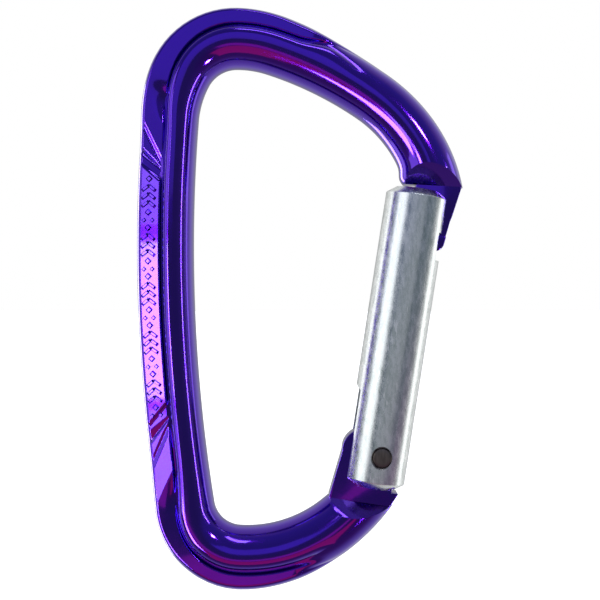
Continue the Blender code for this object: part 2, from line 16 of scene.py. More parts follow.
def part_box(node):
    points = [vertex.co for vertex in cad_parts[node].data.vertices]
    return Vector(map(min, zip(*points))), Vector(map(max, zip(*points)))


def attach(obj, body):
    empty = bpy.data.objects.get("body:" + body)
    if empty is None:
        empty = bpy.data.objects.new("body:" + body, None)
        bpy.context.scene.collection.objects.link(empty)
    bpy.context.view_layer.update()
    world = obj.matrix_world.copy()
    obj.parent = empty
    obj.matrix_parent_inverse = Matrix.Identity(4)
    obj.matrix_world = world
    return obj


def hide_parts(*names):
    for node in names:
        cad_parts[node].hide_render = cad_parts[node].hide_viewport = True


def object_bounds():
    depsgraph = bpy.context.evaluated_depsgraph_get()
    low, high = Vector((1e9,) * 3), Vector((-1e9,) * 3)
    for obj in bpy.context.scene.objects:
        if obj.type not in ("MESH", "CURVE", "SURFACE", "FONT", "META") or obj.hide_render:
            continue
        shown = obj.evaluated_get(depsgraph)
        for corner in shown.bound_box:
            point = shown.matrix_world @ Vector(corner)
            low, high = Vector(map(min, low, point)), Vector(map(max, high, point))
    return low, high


bl_info = {
    "name": "Keylock carabiner",
    "version": (1, 0, 0),
    "blender": (4, 5, 0),
    "location": "View3D > Sidebar > Carabiner",
    "description": "Builds a forged keylock carabiner with its gate, rivet, plunger, spring and stage",
    "category": "Object",
}

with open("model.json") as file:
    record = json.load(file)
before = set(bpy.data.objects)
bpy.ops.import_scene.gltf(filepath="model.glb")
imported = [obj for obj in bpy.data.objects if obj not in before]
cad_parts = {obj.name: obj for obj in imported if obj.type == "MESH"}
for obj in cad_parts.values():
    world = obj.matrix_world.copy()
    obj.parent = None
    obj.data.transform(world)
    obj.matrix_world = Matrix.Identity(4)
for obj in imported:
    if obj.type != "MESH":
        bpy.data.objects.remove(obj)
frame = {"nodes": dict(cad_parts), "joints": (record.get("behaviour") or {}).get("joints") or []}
CAD_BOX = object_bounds()

MM = 0.001
JOINTS = {joint["name"]: joint for joint in frame["joints"]}
HINGE = Vector(JOINTS["gate_hinge"]["pos_m"])
OPEN_ANGLE = math.radians(max(JOINTS["gate_hinge"]["range_deg"]))
GATE_UP = Vector(JOINTS["plunger_slide"]["axis"]).normalized()
GATE_LEAN = math.atan2(GATE_UP.x, GATE_UP.z)
GATE_FRAME = Matrix.Translation(HINGE) @ Matrix.Rotation(GATE_LEAN, 4, "Y")


def linear(hex_colour):
    """Linear RGBA of an sRGB hex colour."""
    parts = [int(hex_colour[k:k + 2], 16) / 255.0 for k in (1, 3, 5)]
    return tuple(p / 12.92 if p <= 0.04045 else ((p + 0.055) / 1.055) ** 2.4 for p in parts) + (1.0,)


# ---------------------------------------------------------------- loop: edge and sections

# Bearing edge from the nose round to the hinge: length in millimetres and turn in degrees.
EDGE_ARCS = {
    "stub": (3.6, 10.0), "nose": (14.5, 40.5), "arm": (16.9, 16.2), "crown": (5.1, 17.9),
    "corner": (5.7, 61.8), "shoulder": (6.2, 23.7), "spine": (64.5, 13.7), "heel": (6.3, 77.4),
    "foot": (14.0, 39.7), "hinge": (9.6, 24.0),
}
BASKET_ARC = "corner"

# Forged section at places along the edge, in millimetres: arc, share of it, then the bar's width,
# how far it is forged, the bead's crest and foot, how square the bead's outer side is, the start
# of the flange's top, and the radius of the outer edge.
SECTIONS = (
    ("stub", 0.0, 9.4, 0.0, 4.5, 6.3, 2.0, 7.4, 2.0),
    ("nose", 0.0, 9.35, 0.0, 4.5, 6.3, 2.0, 7.4, 2.0),
    ("nose", 1.0, 8.9, 0.0, 4.5, 6.3, 2.0, 7.3, 2.0),
    ("arm", 0.12, 8.95, 0.0, 4.5, 8.0, 2.1, 8.3, 1.2),
    ("arm", 0.5, 9.3, 0.75, 4.6, 7.9, 2.5, 8.4, 1.0),
    ("arm", 0.82, 9.8, 1.0, 4.6, 6.5, 3.2, 7.3, 1.2),
    ("crown", 1.0, 10.15, 1.0, 4.6, 6.5, 3.6, 7.3, 0.9),
    ("corner", 1.0, 10.25, 1.0, 4.4, 5.9, 3.4, 6.4, 0.9),
    ("shoulder", 1.0, 9.7, 1.0, 3.8, 5.1, 2.8, 5.6, 0.85),
    ("spine", 0.1, 9.5, 1.0, 3.6, 5.0, 2.5, 5.5, 0.85),
    ("spine", 0.5, 9.5, 1.0, 3.6, 5.0, 2.5, 5.5, 0.85),
    ("spine", 0.86, 9.6, 1.0, 3.7, 5.1, 2.5, 5.6, 0.85),
    ("spine", 1.0, 10.05, 1.0, 4.3, 5.9, 2.6, 6.4, 0.9),
    ("heel", 0.5, 10.4, 1.0, 4.8, 6.7, 2.2, 7.3, 1.2),
    ("heel", 1.0, 10.7, 1.0, 5.0, 7.0, 2.0, 7.8, 1.3),
    ("foot", 0.45, 10.25, 1.0, 5.0, 7.0, 2.0, 7.8, 1.4),
    ("foot", 0.95, 9.55, 0.0, 4.8, 6.6, 2.0, 7.6, 2.0),
    ("hinge", 1.0, 9.3, 0.0, 4.6, 6.3, 2.0, 7.3, 2.0),
)

# Sculpted facets at both ends of the spine's panel, in millimetres along the edge from the
# panel's middle: where each line meets the bead and where it meets the outer edge.
PANEL_MIDDLE = 80.8
FACETS = {
    "panel_end": ((18.0, 21.3), (17.6, 22.0)),
    "cut_near": ((19.5, 22.6), (20.0, 22.8)),
    "cut_far": ((19.6, 23.6), (20.1, 24.7)),
    "ditch": ((19.9, 27.9), (20.7, 28.4)),
    "wedge": ((26.5, 33.0), (28.3, 35.4)),
}
# What the die left along those lines, in millimetres unless it says otherwise.
PANEL_END_SOFT = 0.35
TERRACE_DROP, TERRACE_TILT = 0.3, (0.2, 0.8)    # tilt as a share of the panel's, above and below
CUT_DEPTH, CUT_DEEPENING, CUT_WALL, CUT_NARROWEST = 0.12, 0.42, 0.45, 0.15
STEP_AFTER_CUT = 0.1
DITCH_DEPTH, DITCH_NEAR, DITCH_FAR = 0.14, 0.45, 1.5
WEDGE_DEPTH, WEDGE_LENGTH = 0.75, 4.0
WEDGE_FADE = ((31.5, 33.2), (36.0, 44.0))       # from the panel's middle, above and below
RIM_START = ((30.0, 34.0), (33.0, 40.0))
FLOOR_CHANGE = (21.0, 30.0)
RAMP_SHARE, RAMP_END = 0.35, 0.12
FINE_SPAN, COARSE = (34.5, 40.0), 2.2           # fine sections each way, and how much wider the rest
LIP_PLACE, LIP_SPREAD = 4.9, 1.35


def arc_start(name, share=0.0):
    """Distance from the nose, in millimetres, of a share of one arc."""
    total = 0.0
    for arc, (length, _) in EDGE_ARCS.items():
        if arc == name:
            return total + share * length
        total += length
    raise ValueError(name)


def walk(distances):
    """Points and headings along the edge, in millimetres and radians."""
    distances = np.asarray(distances, float)
    turn_to_basket = 0.0
    for name, (_, turn) in EDGE_ARCS.items():
        if name == BASKET_ARC:
            break
        turn_to_basket += math.radians(turn)
    point = np.zeros((len(distances), 2))
    heading = np.full(len(distances), math.pi - turn_to_basket)
    left = distances.copy()
    for length, degrees in EDGE_ARCS.values():
        turn = math.radians(degrees)
        step = np.clip(left, 0.0, length)
        swept = turn * step / length
        chord = 2.0 * length / turn * np.sin(swept / 2.0)
        middle = heading + swept / 2.0
        point += chord[:, None] * np.stack([np.cos(middle), np.sin(middle)], 1)
        heading = heading + swept
        left = left - length
    return point, heading


def edge_at(distances):
    """Points on the bearing edge and the directions out of the loop."""
    basket, _ = walk([arc_start(BASKET_ARC)])
    point, heading = walk(distances)
    return point - basket[0], np.stack([np.sin(heading), -np.cos(heading)], 1)


def smooth_rows(places, rows, distances):
    """A smooth curve without overshoot through each column of a table."""
    places, rows = np.asarray(places), np.asarray(rows)
    k = np.clip(np.searchsorted(places, distances) - 1, 0, len(places) - 2)
    before, after = np.maximum(k - 1, 0), np.minimum(k + 2, len(places) - 1)
    span = (places[k + 1] - places[k])[:, None]
    t = np.clip((distances - places[k]) / span[:, 0], 0.0, 1.0)[:, None]
    rise = rows[k + 1] - rows[k]
    low = (rows[k + 1] - rows[before]) / (places[k + 1] - places[before])[:, None]
    high = (rows[after] - rows[k]) / (places[after] - places[k])[:, None]
    low = np.where((rows[k] - rows[before]) * rise <= 0.0, 0.0, low)
    high = np.where((rows[after] - rows[k + 1]) * rise <= 0.0, 0.0, high)
    return (rows[k] * (2 * t ** 3 - 3 * t ** 2 + 1) + rows[k + 1] * (3 * t ** 2 - 2 * t ** 3)
            + span * low * (t ** 3 - 2 * t ** 2 + t) + span * high * (t ** 3 - t ** 2))


def section_sizes(distances):
    """The table of sections, read at distances along the edge: one column for each size."""
    places = [arc_start(row[0], row[1]) for row in SECTIONS]
    return smooth_rows(places, [row[2:] for row in SECTIONS], distances)


def ease(value, start, end):
    """0 before start, 1 after end, and a smooth step between."""
    t = np.clip((value - start) / (end - start), 0.0, 1.0)
    return t * t * (3.0 - 2.0 * t)


def facet_line(name, out, foot, width, lower):
    """Place of a facet's line along the edge, for each distance out from the bead's foot."""
    upper_ends, lower_ends = FACETS[name]
    share = np.clip((out - foot) / (width - foot), 0.0, 1.0)
    upper = upper_ends[0] + (upper_ends[1] - upper_ends[0]) * share
    under = lower_ends[0] + (lower_ends[1] - lower_ends[0]) * share
    return np.where(lower, under, upper)


def floor_height(distance, sizes):
    """Height of the groove's floor in mm: shallow beside the panel, deeper at the corners."""
    deep, shallow = sizes.floor / MM / 2.0, sizes.spine_floor / MM / 2.0
    return shallow + (deep - shallow) * ease(np.abs(distance - PANEL_MIDDLE), *FLOOR_CHANGE)


def flange_height(distance, out, foot, start, width, sizes):
    """Height of the flange's top above mid-thickness, with the facets of the forging, in mm."""
    top, panel = sizes.flange / MM / 2.0, sizes.panel / MM / 2.0
    floor = floor_height(distance, sizes)
    along = np.abs(distance - PANEL_MIDDLE)
    lower = distance > PANEL_MIDDLE
    lines = {name: facet_line(name, out, foot, width, lower) for name in FACETS}
    height = np.full(np.broadcast(distance, out).shape, top)
    outward = np.clip((out - foot) / (width - foot), 0.0, 1.0)
    # The panel slopes down a little to the outside, as a forging leaves its die.
    slope = sizes.draft * (out - (start + width) / 2.0)
    ends = lines["panel_end"]
    past_panel = ease(along, ends - PANEL_END_SOFT, ends + PANEL_END_SOFT)
    on_panel = panel - slope
    terrace = panel - TERRACE_DROP - np.where(lower, TERRACE_TILT[1], TERRACE_TILT[0]) * slope
    height = on_panel + (terrace - on_panel) * past_panel
    # A wedge-shaped cut that opens to the outside, with a steep far wall.
    near, far = lines["cut_near"], lines["cut_far"]
    cut = np.clip((along - near) / np.maximum(far - near, CUT_NARROWEST), 0.0, 1.0)
    after_cut = ease(along, far, far + CUT_WALL)
    height = height - (CUT_DEPTH + CUT_DEEPENING * outward) * cut * (1.0 - after_cut)
    height = height + STEP_AFTER_CUT * after_cut
    # A ditch, steep on the panel's side and a long slope on the other.
    past = along - lines["ditch"]
    ditch = np.where(past > 0.0, 1.0 - past / DITCH_FAR, 1.0 + past / DITCH_NEAR)
    height = height - DITCH_DEPTH * np.clip(ditch, 0.0, 1.0)
    # The wedge: a facet that dips to the groove beside the bead, widening to the corner.
    inside_wedge = np.clip((along - lines["wedge"]) / WEDGE_LENGTH, 0.0, 1.0)
    fade = 1.0 - np.where(lower, ease(along, *WEDGE_FADE[1]), ease(along, *WEDGE_FADE[0]))
    height = height - WEDGE_DEPTH * inside_wedge * fade * (1.0 - outward)
    # Away from the spine the flange is a plain rim.
    rim = np.where(lower, ease(along, *RIM_START[1]), ease(along, *RIM_START[0]))
    height = height + (top - height) * rim
    return floor + (height - floor) * ease(out, foot + RAMP_SHARE * (start - foot), start + RAMP_END)


def loop_stations(sizes):
    """Distances of the sections in millimetres: closest where the forging has facets."""
    total = sum(length for length, _ in EDGE_ARCS.values())
    fine = (PANEL_MIDDLE - FINE_SPAN[0], PANEL_MIDDLE + FINE_SPAN[1])
    step = sizes.spacing / MM
    before = np.linspace(0.0, fine[0], int(fine[0] / (COARSE * step)), endpoint=False)
    middle = np.arange(fine[0], fine[1], step)
    after = np.linspace(fine[1], total, int((total - fine[1]) / (COARSE * step)))
    return np.concatenate([before, middle, after])


def loop_half_sections(distances, sizes):
    """Front half of every section: out from the edge and height, in millimetres."""
    table = section_sizes(distances)
    width, forged, crest, foot, square, start, radius = (table[:, k:k + 1] for k in range(7))
    half = sizes.thickness / MM / 2.0
    floor = floor_height(distances, sizes)[:, None]
    inside = np.linspace(0.0, math.pi / 2.0, 24)[None, :]
    out_1 = crest * (1.0 - np.cos(inside))
    high_1 = np.broadcast_to(half * np.sin(inside), out_1.shape)
    outside = np.linspace(0.0, math.pi / 2.0, 15)[None, 1:]
    power = 2.0 / square
    out_2 = crest + (foot - crest) * np.sin(outside) ** power
    high_2 = floor + (half - floor) * np.clip(np.cos(outside), 0.0, 1.0) ** power
    share = np.linspace(0.0, 1.0, 36)[None, 1:]
    out_3 = foot + (width - radius - foot) * share
    high_3 = flange_height(distances[:, None], out_3, foot, start, width, sizes)
    round_edge = np.linspace(0.0, math.pi / 2.0, 10)[None, 1:]
    out_4 = width - radius * (1.0 - np.sin(round_edge))
    high_4 = high_3[:, -1:] * np.cos(round_edge)
    out = np.concatenate([out_1, out_2, out_3, out_4], 1)
    high = np.concatenate([high_1, high_2, high_3, high_4], 1)
    beyond = np.linspace(math.pi / 2.0, math.pi, out.shape[1] - out_1.shape[1] + 1)[1:]
    angle = np.concatenate([inside[0], beyond])[None, :]
    round_out, round_high = width / 2.0 * (1.0 - np.cos(angle)), half * np.sin(angle)
    out = round_out + forged * (out - round_out)
    high = round_high + forged * (high - round_high)
    out[:, 0], high[:, 0] = 0.0, 0.0
    out[:, -1], high[:, -1] = width[:, 0], 0.0
    # Metal pushed inwards where the nose was pressed to shape.
    lip = sizes.lip / MM * np.exp(-((distances - LIP_PLACE) / LIP_SPREAD) ** 2)[:, None]
    out = out - lip * (1.0 - out / width) ** 3
    return out, high


def tube_mesh(name, rings):
    """A closed mesh through rings of points, with a flat face at each end."""
    stations, count, _ = rings.shape
    near = np.arange(stations - 1)[:, None] * count
    k = np.arange(count)[None, :]
    after = (k + 1) % count
    quads = np.stack([near + k, near + after, near + count + after, near + count + k], -1)
    faces = quads.reshape(-1, 4).tolist()
    faces.append(list(range(count))[::-1])
    faces.append(list(range((stations - 1) * count, stations * count)))
    mesh = bpy.data.meshes.new(name)
    mesh.from_pydata(rings.reshape(-1, 3).tolist(), [], faces)
    point_outwards(mesh)
    return mesh


def loop_mesh(name, sizes):
    """The forged bar, before the nose and the hinge are milled."""
    distances = loop_stations(sizes)
    out, high = loop_half_sections(distances, sizes)
    out = np.concatenate([out, out[:, -2:0:-1]], 1)
    high = np.concatenate([-high, high[:, -2:0:-1]], 1)
    point, outward = edge_at(distances)
    x = point[:, :1] + outward[:, :1] * out
    z = point[:, 1:] + outward[:, 1:] * out
    return tube_mesh(name, np.stack([x, high, z], -1) * MM)


# ---------------------------------------------------------------- making meshes

def point_outwards(mesh):
    made = bmesh.new()
    made.from_mesh(mesh)
    bmesh.ops.recalc_face_normals(made, faces=made.faces)
    made.to_mesh(mesh)
    made.free()


def new_object(name, mesh, place=None):
    """An object of a mesh, standing in the gate's frame or where its mesh is."""
    obj = bpy.data.objects.new(name, mesh)
    bpy.context.scene.collection.objects.link(obj)
    if place is not None:
        obj.matrix_world = place
    return obj


def closed_object(name, made, place):
    """An object of a bmesh that is closed, with its faces outwards."""
    bmesh.ops.recalc_face_normals(made, faces=made.faces)
    data = bpy.data.meshes.new(name)
    made.to_mesh(data)
    made.free()
    return new_object(name, data, place)


def slab(name, corners, along, place):
    """A solid swept from a flat face of corners along a straight line."""
    made = bmesh.new()
    face = made.faces.new([made.verts.new(corner) for corner in corners])
    grown = bmesh.ops.extrude_face_region(made, geom=[face])
    moved = [item for item in grown["geom"] if isinstance(item, bmesh.types.BMVert)]
    bmesh.ops.translate(made, verts=moved, vec=along)
    return closed_object(name, made, place)


def plate(name, outline, thickness, place):
    """A flat plate of a closed outline in the XZ plane, centred on mid-thickness."""
    return slab(name, [(x, -thickness / 2.0, z) for x, z in outline], (0.0, thickness, 0.0), place)


def turned(name, profile, place, sides):
    """A turned piece round Z: its (radius, height) profile runs from the top to the bottom."""
    angles = np.linspace(0.0, 2.0 * math.pi, sides, endpoint=False)
    made = bmesh.new()
    rows = [[made.verts.new((r * math.cos(a), r * math.sin(a), h)) for a in angles]
            for r, h in profile[1:-1]]
    top, bottom = (made.verts.new((0.0, 0.0, end[1])) for end in (profile[0], profile[-1]))
    for k in range(sides):
        after = (k + 1) % sides
        for upper, under in zip(rows, rows[1:]):
            made.faces.new((upper[k], under[k], under[after], upper[after]))
        made.faces.new((top, rows[0][k], rows[0][after]))
        made.faces.new((bottom, rows[-1][after], rows[-1][k]))
    return closed_object(name, made, place)


def box(name, low, high, place):
    made = bmesh.new()
    bmesh.ops.create_cube(made, size=1.0)
    low, high = Vector(low), Vector(high)
    bmesh.ops.scale(made, verts=made.verts, vec=high - low)
    bmesh.ops.translate(made, verts=made.verts, vec=(low + high) / 2.0)
    return closed_object(name, made, place)


def bevelled(obj, width):
    """The object with its sharp edges rounded."""
    bevel = obj.modifiers.new("edges", "BEVEL")
    bevel.width = width
    bevel.segments = 3
    bevel.limit_method = "ANGLE"
    bevel.angle_limit = math.radians(35.0)
    bevel.miter_outer = "MITER_ARC"
    return obj


def finish_piece(obj, helpers=(), smooth_angle=30.0):
    """Bakes modifiers and place into the mesh, and removes what was only used to cut."""
    bpy.context.view_layer.update()
    graph = bpy.context.evaluated_depsgraph_get()
    data = bpy.data.meshes.new_from_object(obj.evaluated_get(graph))
    data.transform(obj.matrix_world)
    obj.modifiers.clear()
    obj.data = data
    obj.matrix_world = Matrix.Identity(4)
    for helper in helpers:
        bpy.data.objects.remove(helper)
    data.shade_smooth()
    data.set_sharp_from_angle(angle=math.radians(smooth_angle))
    return obj


def arc(centre, radius, start, end, count):
    """Points on an arc from one angle to another, in degrees."""
    angles = [math.radians(start + (end - start) * k / count) for k in range(count + 1)]
    return [(centre[0] + radius * math.cos(a), centre[1] + radius * math.sin(a)) for a in angles]


# ---------------------------------------------------------------- places in the gate's frame

ACROSS = GATE_FRAME @ Matrix.Rotation(math.pi / 2.0, 4, "X")
SIDE_FIT, FRONT_FIT = 0.3 * MM, 0.36 * MM       # clearance beside and in front of what it holds
RIVET_FIT = 0.05 * MM
BAR_INSET = 0.45 * MM                           # keeps what is added inside the bar's round edge
MILL_INSET = 0.05 * MM                          # the mill's flat ends just inside the blade or tab
MILL_REACH, MILL_DEPTH = 10.0 * MM, 21.0 * MM
BLADE_ROOT = 3.4 * MM
KEY_PROUD, KEY_HEIGHT = 0.05 * MM, 2.7 * MM
TAB_CORNER_HEIGHT, TAB_ROOT = 0.5 * MM, 1.6 * MM
TAB_BORE, TAB_BORE_HALF = 1.7 * MM, 9.0 * MM
SPRING_BORE, SPRING_BORE_TOP = 2.5 * MM, 26.0 * MM
END_ROUND = 0.12 * MM
BLADE_EDGE, KEY_EDGE, TAB_EDGE = 0.22 * MM, 0.2 * MM, 0.4 * MM


def in_gate_frame(point):
    """A point of the loop's plane, in millimetres: out of the loop, and up the gate."""
    x, z = point[0] - HINGE.x / MM, point[1] - HINGE.z / MM
    return (x * math.cos(GATE_LEAN) - z * math.sin(GATE_LEAN),
            x * math.sin(GATE_LEAN) + z * math.cos(GATE_LEAN))


def bar_outside(arc_name, low, high):
    """Outer edge of the bar along one arc, in metres of the gate's frame, going down."""
    start, length = arc_start(arc_name), EDGE_ARCS[arc_name][0]
    distances = np.linspace(start, start + length, 40)
    width = section_sizes(distances)[:, :1]
    point, outward = edge_at(distances)
    points = [in_gate_frame(p) for p in point + outward * (width - BAR_INSET / MM)]
    kept = [(x * MM, z * MM) for x, z in points if low <= z * MM <= high]
    return sorted(kept, key=lambda place: -place[1])


def gate_ends():
    """Lowest and highest place of the CAD gate, measured up its own axis from the rivet."""
    mesh = frame["nodes"]["gate"].data
    heights = [(vert.co - HINGE).dot(GATE_UP) for vert in mesh.vertices]
    return min(heights), max(heights)


def blade_tip(sizes):
    return sizes.shoulder_height - sizes.blade_length


def key_tip_centre(sizes):
    centre = sizes.key_out - 0.6 * MM - sizes.key_tip_radius
    return centre, blade_tip(sizes) + sizes.key_tip_radius


def blade_outline(sizes):
    """Nose blade, from its tip up into the bar."""
    tip, shoulder = blade_tip(sizes), sizes.shoulder_height
    root = shoulder + BLADE_ROOT
    bar_out = bar_outside("stub", shoulder + 0.32 * MM, root)
    outline = [(-sizes.blade_inside, root), (-sizes.blade_inside, tip)]
    outline += arc(key_tip_centre(sizes), sizes.key_tip_radius, -90.0, -10.0, 16)
    for beyond, height in ((-0.2, 4.2), (-0.1, 5.2), (0.15, 6.2)):
        outline.append((sizes.key_out + beyond * MM, tip + height * MM))
    outline += list(reversed(bar_out))
    outline.append((bar_out[0][0] - 1.7 * MM, root))
    return outline


def key_outline(sizes):
    """The cross-bar at the blade's tip, just proud of the blade."""
    tip, inside = blade_tip(sizes), -sizes.blade_inside - KEY_PROUD
    outline = [(inside, tip + KEY_HEIGHT), (inside, tip - KEY_PROUD)]
    outline += arc(key_tip_centre(sizes), sizes.key_tip_radius + KEY_PROUD, -90.0, -10.0, 16)
    outline.append((sizes.key_out - 0.4 * MM, tip + KEY_HEIGHT))
    return outline


def cam_distance(sizes):
    """Distance of the cam's line from the rivet: it touches the tab's round corner."""
    tilt, out = sizes.cam_tilt, sizes.tab_corner - sizes.tab_reach
    return out * math.sin(tilt) + TAB_CORNER_HEIGHT * math.cos(tilt) + sizes.tab_corner


def tab_outline(sizes):
    """Hinge tab: cam on top, round inside, and an ear outside below the gate."""
    facet = (math.cos(OPEN_ANGLE), math.sin(OPEN_ANGLE))
    cam = (math.sin(sizes.cam_tilt), math.cos(sizes.cam_tilt))
    scale = facet[0] * cam[1] - facet[1] * cam[0]
    out, reach, shoulder = sizes.tab_out, sizes.tab_reach, sizes.tab_shoulder
    stop = out * (1.0 - math.cos(OPEN_ANGLE)) / math.sin(OPEN_ANGLE)
    ear_top = gate_ends()[0] - FRONT_FIT
    root = -shoulder - TAB_ROOT
    ear = bar_outside("hinge", root, ear_top)
    far = cam_distance(sizes)
    outline = [((out * cam[1] - far * facet[1]) / scale,
                (far * facet[0] - out * cam[0]) / scale)]
    corner = (sizes.tab_corner - reach, TAB_CORNER_HEIGHT)
    outline += arc(corner, sizes.tab_corner, 90.0 - math.degrees(sizes.cam_tilt), 189.0, 30)
    outline.append((-reach - 1.0 * MM, -shoulder + 0.1 * MM))
    outline.append((-reach - 0.3 * MM, root))
    outline.append((ear[-1][0] - TAB_ROOT, root))
    outline += list(reversed(ear))
    outline += [(ear[0][0], ear_top), (out, ear_top), (out, stop)]
    return outline


def milling_cutter(name, thickness, slope, length, turn, height, inside):
    """Everything past a shoulder: a flat under the blade or tab, and a slope on each side of it."""
    half = thickness / 2.0 - MILL_INSET
    rise = (MILL_REACH - half) * math.tan(slope)
    profile = [(-MILL_REACH, rise), (-half, 0.0), (half, 0.0), (MILL_REACH, rise),
               (MILL_REACH, -MILL_DEPTH), (-MILL_REACH, -MILL_DEPTH)]
    shift = Matrix.Translation((inside, 0.0, height)) @ Matrix.Rotation(turn, 4, "Y")
    return slab(name, [(-length / 2.0, y, z) for y, z in profile], (length, 0.0, 0.0),
                GATE_FRAME @ shift)


def body_pieces(sizes):
    """What is milled off the forged bar, and the blade, key and tab that are left standing."""
    nose = milling_cutter("nose_mill", sizes.blade, sizes.nose_slope, 21.0 * MM,
                          -sizes.shoulder_tilt, sizes.shoulder_height, -gate_axis_inside())
    hinge = milling_cutter("hinge_mill", sizes.tab, sizes.tab_slope, 29.4 * MM,
                           math.pi, -sizes.tab_shoulder, 0.0)
    blade = plate("nose_blade", blade_outline(sizes), sizes.blade, GATE_FRAME)
    key_width = sizes.blade + 2.0 * sizes.key_wing
    key = plate("nose_key", key_outline(sizes), key_width, GATE_FRAME)
    tab = plate("hinge_tab", tab_outline(sizes), sizes.tab, GATE_FRAME)
    hole = turned("tab_bore", [(0.0, TAB_BORE_HALF), (TAB_BORE, TAB_BORE_HALF),
                               (TAB_BORE, -TAB_BORE_HALF), (0.0, -TAB_BORE_HALF)], ACROSS, 64)
    return [(nose, "DIFFERENCE"), (hinge, "DIFFERENCE"), (bevelled(blade, BLADE_EDGE), "UNION"),
            (bevelled(key, KEY_EDGE), "UNION"), (bevelled(tab, TAB_EDGE), "UNION"),
            (hole, "DIFFERENCE")]


def gate_axis_inside():
    """How far the gate's axis passes inside the rivet, from the CAD gate's two sides."""
    across = Vector((math.cos(GATE_LEAN), 0.0, -math.sin(GATE_LEAN)))
    mesh = frame["nodes"]["gate"].data
    reaches = [(vert.co - HINGE).dot(across) for vert in mesh.vertices]
    return -(min(reaches) + max(reaches)) / 2.0


def gate_profile(sizes):
    """Turned bar with a chamfer and a small round at each end."""
    bottom, top = gate_ends()
    radius, deep, soft = sizes.radius, sizes.chamfer, END_ROUND
    end = radius - sizes.chamfer_width
    upper = [(0.0, top), (end - soft, top), (end + 0.4 * soft, top - 0.12 * soft),
             (end + 1.2 * soft, top - 0.9 * soft), (radius - 0.9 * soft, top - deep + 0.8 * soft),
             (radius - 0.12 * soft, top - deep - 0.5 * soft), (radius, top - deep - 1.8 * soft)]
    middle = (top + bottom) / 2.0
    return upper + [(r, 2.0 * middle - h) for r, h in reversed(upper)]


def gate_cutters(sizes):
    """Slots for the blade, key and tab, the spring's bore and the countersunk rivet hole."""
    shapes = bpy.context.scene.loop_sizes
    bottom, top = gate_ends()
    inside, radius = -gate_axis_inside(), sizes.radius
    tip, far = blade_tip(shapes), 2.0 * radius
    floor = -shapes.blade_inside - FRONT_FIT
    half = shapes.blade / 2.0 + SIDE_FIT
    wing = shapes.blade / 2.0 + shapes.key_wing + SIDE_FIT
    roof = tip + 3.1 * MM
    slot = box("blade_slot", (floor, -half, roof - 0.4 * MM), (far, half, top + 2.0 * MM), GATE_FRAME)
    room = box("key_room", (floor, -wing, tip - 1.5 * MM), (far, wing, roof), GATE_FRAME)
    wall, beyond = shapes.tab_out + FRONT_FIT, inside - radius - 2.0 * MM
    below = bottom - 2.0 * MM
    pocket_line = [(wall, below), (wall, 6.0 * MM)]
    pocket_line += arc((wall - 2.0 * MM, 6.0 * MM), 2.0 * MM, 9.0, 90.0, 9)
    pocket_line += [(inside - 2.5 * MM, 8.0 * MM), (inside - radius, 11.2 * MM),
                    (beyond, 12.8 * MM), (beyond, below)]
    pocket = plate("tab_pocket", pocket_line, shapes.tab + 2.0 * SIDE_FIT, GATE_FRAME)
    bore = turned("spring_bore", [(0.0, SPRING_BORE_TOP), (SPRING_BORE, SPRING_BORE_TOP),
                                  (SPRING_BORE, 0.0), (0.0, 0.0)],
                  GATE_FRAME @ Matrix.Translation((inside, 0.0, 0.0)), 64)
    hole, mouth = sizes.rivet_radius + RIVET_FIT, sizes.rivet_mouth
    upper = [(0.0, far), (mouth + (far - radius), far), (mouth, radius),
             (hole, radius - sizes.rivet_sink)]
    rivet_hole = turned("rivet_hole", upper + [(r, -h) for r, h in reversed(upper)], ACROSS, 96)
    return [slot, room, pocket, bore, rivet_hole]


def cut_all(obj, changes, smooth_angle):
    """Cuts and joins in turn, then keeps the result as the object's own mesh."""
    for other, operation in changes:
        change = obj.modifiers.new(other.name, "BOOLEAN")
        change.operation = operation
        change.solver = "MANIFOLD"
        change.object = other
    return finish_piece(obj, [other for other, _ in changes], smooth_angle)


# ---------------------------------------------------------------- marks on the panel

# One run of the raised marks: place along the run, place across the panel, length along it,
# length across it and turn, in millimetres and degrees. None of it is lettering.
MARK_ROOT, PANEL_EDGE = 0.06, 0.35              # millimetres: sunk in the panel, and the outer round
MARK_RUN = (
    (0.0, 0.0, 1.0, 1.0, 45.0),
    (1.5, 0.56, 0.66, 1.75, 38.0), (1.5, -0.56, 0.66, 1.75, -38.0),
    (2.8, 0.56, 0.66, 1.75, 38.0), (2.8, -0.56, 0.66, 1.75, -38.0),
    (4.1, 0.56, 0.66, 1.75, 38.0), (4.1, -0.56, 0.66, 1.75, -38.0),
    (5.4, 0.0, 1.0, 1.0, 45.0), (6.7, 0.7, 0.7, 0.7, 45.0), (6.7, -0.7, 0.7, 0.7, 45.0),
)


